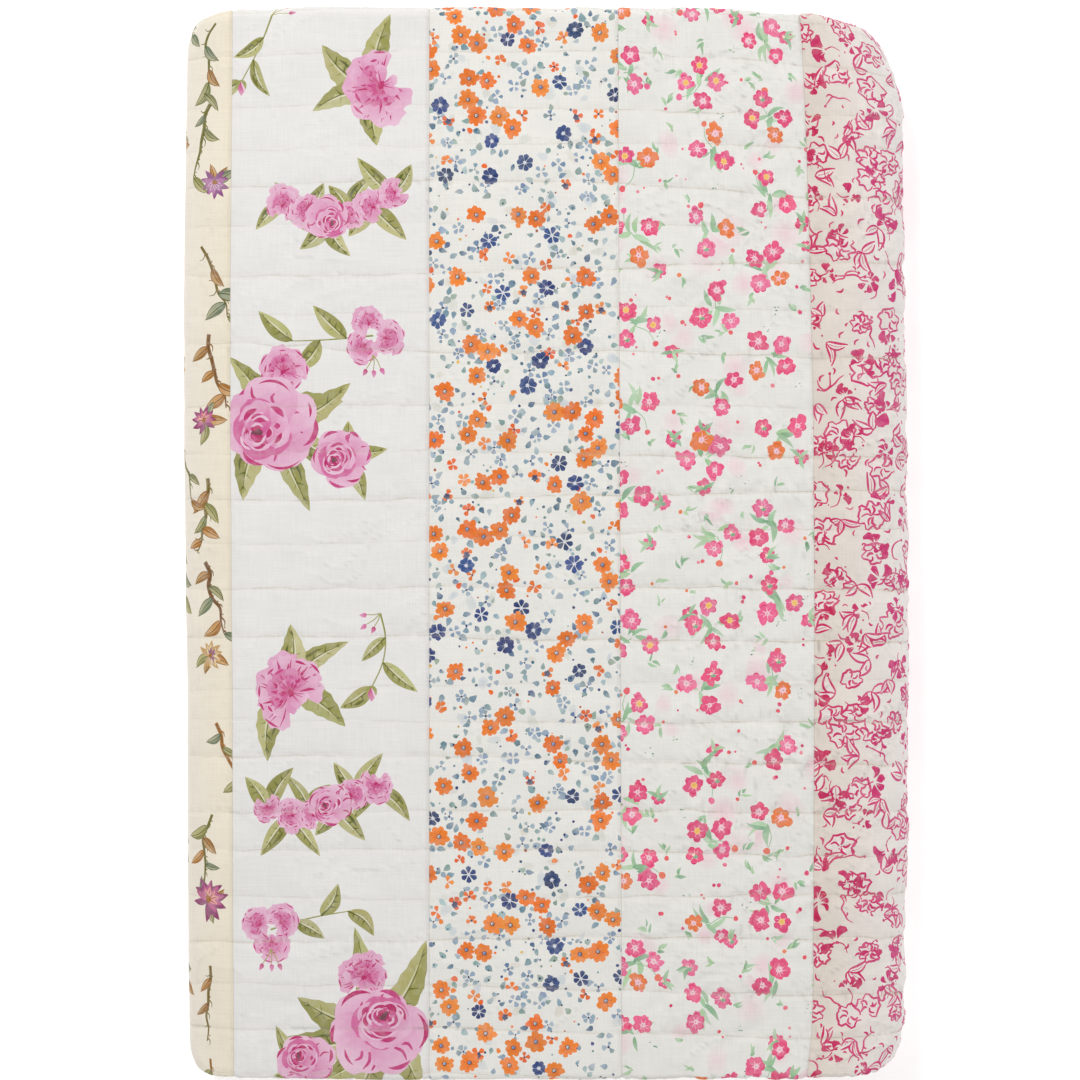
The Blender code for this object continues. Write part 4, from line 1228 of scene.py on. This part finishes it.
def ground_and_painted_light(kind, x0, x1):
    g = colour(GROUNDS[kind])
    if kind == "cream":
        return colour("EFE8DF"), colour("F3E9D4"), (x0 + 20, 0, x1, 0)
    # The carmine ground runs darker by its left seam and lighter towards the right rim: painted shade of the seam's
    # valley and painted light on the rim, over the ground's own colour.
    if kind == "carmine":
        return colour("E7DCD1"), colour("F4EEEA"), (x0 + 4, 0, x0 + 62, 0)
    return g, g, None


def size_of(outline):
    return 0.5 * abs(sum(p[0] * q[1] - q[0] * p[1] for p, q in zip(outline, outline[1:] + outline[:1])))


def printed_cloth(name, kind, drawing, box, mapping, step=(2.8, 1.8), marks_x=(), marks_y=(), least=0.0):
    """One printed strip as a mesh: cloth and print in the same triangulation."""
    x0, x1, y0, y1 = box
    xs, ys = crowded_lines(x0, x1, step[0], marks_x), crowded_lines(y0, y1, step[1], marks_y)
    shapes = [shape for shape in drawing.within(x0, x1, y0, y1) if size_of(shape[0]) > least]
    X, Y, tri, top = partition(xs, ys, [shape[0] for shape in shapes])
    # Colours at each triangle's corners.
    g0, g1, gway = ground_and_painted_light(kind, x0, x1)
    fills = [(None, g0, g1, gway)] + shapes
    first = np.array([f[1] for f in fills])
    second = np.array([f[2] for f in fills])
    mode = np.array([0 if f[3] is None else 1 if len(f[3]) == 3 else 2 for f in fills])
    way = np.array([(0, 0, 1, 0) if f[3] is None else (*f[3], 0) if len(f[3]) == 3 else f[3] for f in fills], dtype=float)
    cx, cy, cs = X[tri].ravel(), Y[tri].ravel(), np.repeat(top, 3)
    w, m = way[cs], mode[cs]
    radial = np.hypot(cx - w[:, 0], cy - w[:, 1]) / np.maximum(w[:, 2], 1e-6)
    dx, dy = w[:, 2] - w[:, 0], w[:, 3] - w[:, 1]
    linear = ((cx - w[:, 0]) * dx + (cy - w[:, 1]) * dy) / np.maximum(dx * dx + dy * dy, 1e-9)
    t = np.clip(np.where(m == 1, radial, np.where(m == 2, linear, 0.0)), 0, 1)[:, None]
    ink = np.concatenate([first[cs] * (1 - t) + second[cs] * t, (cs > 0)[:, None].astype(float)], axis=1)
    # Place it, with the face's own normals.
    world = face_point(X, Y, mapping)
    e = 0.30
    across = face_point(X + e, Y, mapping) - face_point(X - e, Y, mapping)
    up = face_point(X, Y + e, mapping) - face_point(X, Y - e, mapping)
    normal = np.cross(across, up)
    normal /= np.maximum(np.linalg.norm(normal, axis=1), 1e-12)[:, None]
    mesh = bpy.data.meshes.new(name)
    mesh.vertices.add(len(world))
    mesh.vertices.foreach_set("co", world.astype(np.float32).ravel())
    mesh.loops.add(len(tri) * 3)
    mesh.loops.foreach_set("vertex_index", tri.astype(np.int32).ravel())
    mesh.polygons.add(len(tri))
    mesh.polygons.foreach_set("loop_start", np.arange(0, len(tri) * 3, 3, dtype=np.int32))
    mesh.update(calc_edges=True)
    paint = mesh.color_attributes.new("ink", "FLOAT_COLOR", "CORNER")
    paint.data.foreach_set("color", ink.astype(np.float32).ravel())
    count, gap, depth = row_lines(X, Y)
    for label, values in (("rows", count), ("row_step", gap), ("row_depth", depth),
                          ("seam", np.minimum(X - x0, x1 - X))):
        mesh.attributes.new(label, "FLOAT", "POINT").data.foreach_set("value", values.astype(np.float32))
    uv = mesh.uv_layers.new(name="flat")
    uv.data.foreach_set("uv", (np.stack([cx, cy], axis=1) * 1e-3).astype(np.float32).ravel())
    mesh.shade_smooth()
    mesh.normals_split_custom_set_from_vertices(normal.astype(np.float32).tolist())
    piece = bpy.data.objects.new(name, mesh)
    bpy.context.scene.collection.objects.link(piece)
    mesh.materials.append(PRINTED)
    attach(piece, "root")
    print("%s: %d triangles, %d shapes" % (name, len(tri), len(shapes)))
    return piece


# =============================================================== materials
class Nodes:
    """A short way to lay out a material's nodes."""

    def __init__(self, name):
        self.material = bpy.data.materials.new(name)
        self.material.use_nodes = True
        self.tree = self.material.node_tree
        self.shader = self.tree.nodes["Principled BSDF"]

    def node(self, kind, **settings):
        n = self.tree.nodes.new(kind)
        for key, value in settings.items():
            setattr(n, key, value)
        return n

    def put(self, socket, value):
        if isinstance(value, bpy.types.NodeSocket):
            self.tree.links.new(value, socket)
        else:
            socket.default_value = value

    def math(self, operation, a, b=0.0, c=0.0, clamp=False):
        n = self.node("ShaderNodeMath", operation=operation, use_clamp=clamp)
        for socket, value in zip(n.inputs, (a, b, c)):
            self.put(socket, value)
        return n.outputs[0]

    def attribute(self, name):
        return self.node("ShaderNodeAttribute", attribute_name=name)

    def noise(self, vector, scale, detail=2.0, rough=0.5):
        n = self.node("ShaderNodeTexNoise")
        self.put(n.inputs["Vector"], vector)
        n.inputs["Scale"].default_value = scale
        n.inputs["Detail"].default_value = detail
        n.inputs["Roughness"].default_value = rough
        return n.outputs["Fac"]

    def stretched(self, vector, scale):
        n = self.node("ShaderNodeMapping")
        self.put(n.inputs["Vector"], vector)
        n.inputs["Scale"].default_value = scale
        return n.outputs["Vector"]

    def range(self, value, a, b, c, d, smoothly=True):
        n = self.node("ShaderNodeMapRange", interpolation_type="SMOOTHSTEP" if smoothly else "LINEAR")
        for socket, v in zip(n.inputs, (value, a, b, c, d)):
            self.put(socket, v)
        return n.outputs["Result"]

    def mix(self, factor, a, b, blend="MIX"):
        n = self.node("ShaderNodeMix", data_type="RGBA", blend_type=blend)
        for socket, v in zip((n.inputs["Factor"], n.inputs[6], n.inputs[7]), (factor, a, b)):
            self.put(socket, v)
        return n.outputs[2]


def cotton_material():
    m = Nodes("printed_cotton")
    uv = m.node("ShaderNodeUVMap", uv_map="flat").outputs["UV"]
    ink = m.attribute("ink")
    base, printed = ink.outputs["Color"], ink.outputs["Alpha"]
    # Print: a little uneven where the ink is thin, as if brushed.
    wash = m.noise(uv, 170.0, 3.0, 0.6)
    blotch = m.range(wash, 0.40, 0.72, 0.0, 0.13)
    base = m.mix(m.math("MULTIPLY", blotch, printed), base, (0.90, 0.86, 0.84, 1.0))
    # Linen-like slubs both ways, faint.
    warp = m.noise(m.stretched(uv, (1500.0, 46.0, 1.0)), 1.0, 2.0, 0.6)
    weft = m.noise(m.stretched(uv, (46.0, 1500.0, 1.0)), 1.0, 2.0, 0.6)
    cloud = m.noise(uv, 26.0, 3.0, 0.55)
    slub = m.math("ADD", m.range(warp, 0.30, 0.72, -0.5, 0.5), m.range(weft, 0.30, 0.72, -0.5, 0.5))
    tone = m.math("ADD", m.math("MULTIPLY", slub, 0.046), m.math("MULTIPLY", m.math("SUBTRACT", cloud, 0.5), 0.10))
    gain = m.math("ADD", 1.0, tone)
    grey = m.node("ShaderNodeCombineColor")
    for socket in grey.inputs:
        m.put(socket, gain)
    base = m.mix(1.0, base, grey.outputs[0], "MULTIPLY")
    # Quilting rows: thread in short stitches, its dark colour partly the thread's own and partly painted shade of the
    # row's trough, and painted shade on the cloth beside each row, both stronger where the row pulls deeper.
    count = m.attribute("rows").outputs["Fac"]
    gap = m.attribute("row_step").outputs["Fac"]
    depth = m.attribute("row_depth").outputs["Fac"]
    far = m.math("MULTIPLY", m.math("ABSOLUTE", m.math("SUBTRACT", m.math("FRACT", m.math("ADD", count, 0.5)), 0.5)), gap)
    split = m.node("ShaderNodeSeparateXYZ")
    m.put(split.inputs[0], uv)
    dash = m.math("PINGPONG", m.math("ADD", split.outputs[0], m.math("MULTIPLY", cloud, 0.002)), 0.0019)
    on = m.range(dash, 0.00035, 0.0007, 0.55, 1.0)
    patchy = m.range(m.noise(uv, 55.0, 2.0, 0.6), 0.36, 0.62, 0.25, 1.0)
    thread = m.math("MULTIPLY", m.math("MULTIPLY", m.range(far, 0.15, 0.60, 1.0, 0.0), on), patchy)
    # drawn: painted shade on the cloth beside the row, as in its trough.
    drawn = m.math("MULTIPLY", m.range(far, 0.2, 2.4, 1.0, 0.0), patchy)
    # Deeper rows give darker thread: painted shade.
    strength = m.math("MULTIPLY", depth, 0.42)
    base = m.mix(m.math("MULTIPLY", drawn, m.math("MULTIPLY", depth, 0.13)), base, (0.62, 0.55, 0.44, 1.0))
    base = m.mix(m.math("MULTIPLY", thread, strength), base, (0.50, 0.42, 0.31, 1.0))
    # Painted shade: a thin dark line in each seam's groove, within 0.6 mm of a strip's edge.
    seam = m.attribute("seam").outputs["Fac"]
    base = m.mix(m.range(seam, 0.0, 0.6, 0.34, 0.0), base, (0.38, 0.31, 0.26, 1.0))
    m.put(m.shader.inputs["Base Color"], base)
    m.shader.inputs["Roughness"].default_value = 0.88
    m.shader.inputs["Specular IOR Level"].default_value = 0.25
    m.shader.inputs["Sheen Weight"].default_value = 0.12
    m.shader.inputs["Sheen Roughness"].default_value = 0.5
    fine = m.noise(uv, 2600.0, 2.0, 0.6)
    height = m.math("ADD", m.math("MULTIPLY", slub, 0.5), m.math("MULTIPLY", fine, 0.5))
    height = m.math("ADD", height, m.math("MULTIPLY", thread, -1.2))
    bump = m.node("ShaderNodeBump")
    bump.inputs["Strength"].default_value = 0.35
    bump.inputs["Distance"].default_value = 0.00022
    m.put(bump.inputs["Height"], height)
    m.put(m.shader.inputs["Normal"], bump.outputs["Normal"])
    return m.material


PRINTED = cotton_material()


# =============================================================== the quilt itself, under its prints
X_HEM = SPINE_X + CROSS[2]["from"] * 1e3 + math.pi * PACK_HALF * 1e3  # the outer leaf's side hem
Y_FAR, Y_NEAR = SPINE_Y + math.pi * 6.75 + 2.5, LIP_Y - math.pi * 3.25 - 1.0
TURNED_X = ((LIP_X - 22, 26, 1.9), (SPINE_X + 44, 50, 2.2))
TURNED_Y = ((SPINE_Y + 11, 14, 1.1), (LIP_Y - 6, 8, 0.8))


def strip_kind(k):
    return KINDS[k % 5]


def strip_of(X):
    """Which strip a place across the face is in: 0 is the cream one at the top's left."""
    out = np.zeros(len(X), dtype=int)
    for k in range(-9, 7):
        out[(X >= seam_at(k - 1)) & (X < seam_at(k))] = k
    return out


def stations(path, edge_steps, near, step, turns):
    """Distances along a fold path, close together at hems, turns and runs' ends."""
    out = []
    for k, part in enumerate(path):
        if "radius" in part:
            n = turns[part["name"]]
            out += [part["from"] + part["long"] * q / n for q in range(n)]
        else:
            at, end = 0.0, part["long"]
            while at < end - 1e-6:
                out.append(part["from"] + at)
                at += near if min(at, end - at) < 0.030 else step
    total = path[-1]["from"] + path[-1]["long"]
    out = [v for v in out if 0.006 < v < total - 0.006]
    out += list(edge_steps) + [total - v for v in edge_steps]
    return np.array(sorted(out))


def quilt_under_prints():
    edge = (0.0, 0.0003, 0.0008, 0.0016, 0.0030, 0.0058)
    aa = stations(CROSS, edge, 0.007, 0.020, dict(spine=14, lip=10, core=8))
    bb = stations(LONG, edge, 0.004, 0.050, dict(spine=12, lip=8, core=6))
    na, nb = len(aa), len(bb)
    A, B = np.meshgrid(aa, bb, indexing="ij")
    A, B = A.ravel(), B.ravel()
    edge_a, edge_b = np.minimum(A, FLAT_ACROSS - A) * 1e3, np.minimum(B, FLAT_ALONG - B) * 1e3
    full = rounded(edge_a) * rounded(edge_b) * CLOTH / 2
    outer_leaf = A < CROSS[4]["from"]
    on_face = (B > LONG[2]["from"] - 0.013) & (B < LONG[4]["from"])
    at_ends = ((B > LONG[1]["from"] - 0.004) & (B < LONG[2]["from"] + 0.006)) | ((B > LONG[3]["from"] - 0.006) & (B < LONG[4]["from"] + 0.001))
    sunk = 0.0020 * smooth(edge_a / 7.0) * ((outer_leaf & on_face) | at_ends)
    # The hems lie a little unevenly.
    wander = 1.1 * noise(A * 19, B * 0, 61) + 0.5 * noise(A * 55, B * 0, 62)
    Bw = B + np.where(B < FLAT_ALONG / 2, 1, -1) * wander * 1e-3 * (1 - smooth(edge_b / 40))
    wander = 0.9 * noise(B * 17, A * 0, 63) + 0.5 * noise(B * 60, A * 0, 64)
    Aw = A + np.where(A < FLAT_ACROSS / 2, 1, -1) * wander * 1e-3 * (1 - smooth(edge_a / 40))
    swell = 0.00022 * noise(A * 40, B * 40, 65) * smooth(edge_a / 3) * smooth(edge_b / 3)
    face, back = fold(Aw, Bw, full - sunk + swell), fold(Aw, Bw, -full + swell)
    border = np.zeros((na, nb), bool)
    border[0], border[-1], border[:, 0], border[:, -1] = True, True, True, True
    border = border.ravel()
    inner = np.flatnonzero(~border)
    index_back = np.arange(na * nb)
    index_back[inner] = na * nb + np.arange(len(inner))
    points = np.concatenate([face, back[inner]])
    i, j = np.meshgrid(np.arange(na - 1), np.arange(nb - 1), indexing="ij")
    q = (i * nb + j).ravel()
    quads = np.stack([q, q + nb, q + nb + 1, q + 1], axis=1)
    quads = np.concatenate([quads, index_back[quads][:, ::-1]])
    mesh = bpy.data.meshes.new("quilt_cloth")
    mesh.from_pydata(points.tolist(), [], quads.tolist())
    mesh.validate()
    # Each strip's ground shows along the hems; the back is one plain cotton.
    X = SPINE_X - (A - CROSS[2]["from"]) * 1e3
    grounds = np.array([colour(GROUNDS[strip_kind(k)]) for k in range(5)])
    tint = grounds[strip_of(X) % 5]
    plain = np.array(colour("F0ECE3"))
    loops = quads.ravel()
    flat_of = np.concatenate([np.arange(na * nb), inner])[loops]
    is_back = np.arange(len(quads)) >= len(quads) // 2
    ink = np.where(np.repeat(is_back, 4)[:, None], plain[None, :], tint[flat_of])
    paint = mesh.color_attributes.new("ink", "FLOAT_COLOR", "CORNER")
    paint.data.foreach_set("color", np.concatenate([ink, np.zeros((len(ink), 1))], axis=1).astype(np.float32).ravel())
    for label, value in (("rows", 0.5), ("row_step", 28.0), ("row_depth", 0.0), ("seam", 9.0)):
        mesh.attributes.new(label, "FLOAT", "POINT").data.foreach_set("value", np.full(len(points), value, np.float32))
    uv = mesh.uv_layers.new(name="flat")
    uv.data.foreach_set("uv", np.stack([A[flat_of], B[flat_of]], axis=1).astype(np.float32).ravel())
    mesh.shade_smooth()
    piece = bpy.data.objects.new("quilt_cloth", mesh)
    bpy.context.scene.collection.objects.link(piece)
    mesh.materials.append(PRINTED)
    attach(piece, "root")
    print("quilt_cloth: %d quads" % len(quads))
    return piece


def inner_flat(X, Y):
    """The inner leaves' face, where millimetres run on at the middle of the pack."""
    v = unrolled(Y, SPINE_Y, LIP_Y, LAYER_PITCH, CLOTH / 2)
    return CROSS[2]["from"] + (SPINE_X - X) * 1e-3, LONG[2]["from"] + (SPINE_Y - v) * 1e-3


def drawing_for(k, box, fine):
    return MAKERS[strip_kind(k)](box, 40 + k, fine)


def make_prints():
    pieces = []
    names = {0: "cream", 1: "rose", 2: "daisy", 3: "sprig", 4: "carmine"}
    for k in range(0, 9):
        x0, x1 = seam_at(k - 1), seam_at(k)
        if k == 0:
            x0 = LIP_X - 43.4 - 3.0
        x1 = min(x1, X_HEM)
        if x1 - x0 < 4:
            continue
        below = k > 4
        box = (x0, x1, Y_NEAR, Y_FAR)
        drawing = drawing_for(k, (max(x0, seam_at(k - 1)), x1, Y_NEAR, Y_FAR), fine=not below)
        step = (8.0, 5.0) if below else (3.0, 2.0)
        name = "print_%s_%s" % ("under" if below else "top", names[k % 5])
        pieces.append(printed_cloth(name, strip_kind(k), drawing, box, to_flat, step, TURNED_X if not below else (), TURNED_Y, 9.0 if below else 0.5 if k == 1 else 0.25))
    # The inner leaves show their prints only at the two ends of the stack.
    first, last = SPINE_X - (CROSS[4]["from"] - CROSS[2]["from"]) * 1e3, SPINE_X - (FLAT_ACROSS - CROSS[2]["from"]) * 1e3
    for k in range(-8, 1):
        x0, x1 = max(seam_at(k - 1), last), min(seam_at(k), first)
        if x1 - x0 < 3:
            continue
        for side, y0, y1 in (("far", 319.0, Y_FAR), ("near", Y_NEAR, -322.0)):
            box = (x0, x1, y0, y1)
            pieces.append(printed_cloth("print_%s_%s_%d" % (side, names[k % 5], -k), strip_kind(k), drawing_for(k, box, False), box, inner_flat, (5.0, 3.2), (), TURNED_Y, 0.8))
    return pieces


cloth = quilt_under_prints()
prints = make_prints()
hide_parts("quilt")


# =============================================================== floor, light and camera
def paper_floor():
    mesh = bpy.data.meshes.new("floor")
    s = 6.0
    mesh.from_pydata([(-s, -s, -0.0006), (s, -s, -0.0006), (s, s, -0.0006), (-s, s, -0.0006)], [], [(0, 1, 2, 3)])
    floor = bpy.data.objects.new("floor", mesh)
    bpy.context.scene.collection.objects.link(floor)
    m = Nodes("white_floor")
    where = m.node("ShaderNodeNewGeometry").outputs["Position"]
    grain = m.noise(where, 9.0, 2.0, 0.5)
    m.put(m.shader.inputs["Base Color"], m.mix(grain, (0.93, 0.93, 0.93, 1), (0.96, 0.96, 0.96, 1)))
    m.shader.inputs["Roughness"].default_value = 0.8
    m.shader.inputs["Emission Color"].default_value = (1, 1, 1, 1)
    m.shader.inputs["Emission Strength"].default_value = 0.34
    mesh.materials.append(m.material)


def soft_light(name, place, aim, size, power, tone=(1, 1, 1)):
    lamp = bpy.data.lights.new(name, "AREA")
    lamp.shape, lamp.size, lamp.energy, lamp.color = "SQUARE", size, power, tone
    thing = bpy.data.objects.new(name, lamp)
    thing.location = place
    thing.rotation_euler = (Vector(aim) - Vector(place)).to_track_quat("-Z", "Y").to_euler()
    bpy.context.scene.collection.objects.link(thing)


paper_floor()
world = bpy.data.worlds.new("studio")
bpy.context.scene.world = world
world.use_nodes = True
world.node_tree.nodes["Background"].inputs["Color"].default_value = (1.0, 1.0, 1.0, 1.0)
world.node_tree.nodes["Background"].inputs["Strength"].default_value = 0.57
soft_light("key", (-0.75, 1.35, 2.0), (0, 0, 0.03), 0.7, 22.5, (1.0, 0.995, 0.985))
soft_light("fill", (1.7, -0.2, 1.7), (0, 0, 0.03), 2.0, 6.5)

bpy.context.scene.view_settings.view_transform = "Standard"
bpy.context.scene.view_settings.look = "None"

LENS, SEEN, TOP = 150.0, 0.6696, 0.0420
camera_data = bpy.data.cameras.new("camera")
camera_data.lens, camera_data.sensor_width = LENS, 36.0
camera_data.clip_end = 50.0
camera = bpy.data.objects.new("camera", camera_data)
camera.location = (-7 * PX * 1e-3, 3 * PX * 1e-3, TOP + SEEN * LENS / 36.0)
bpy.context.scene.collection.objects.link(camera)
bpy.context.scene.camera = camera
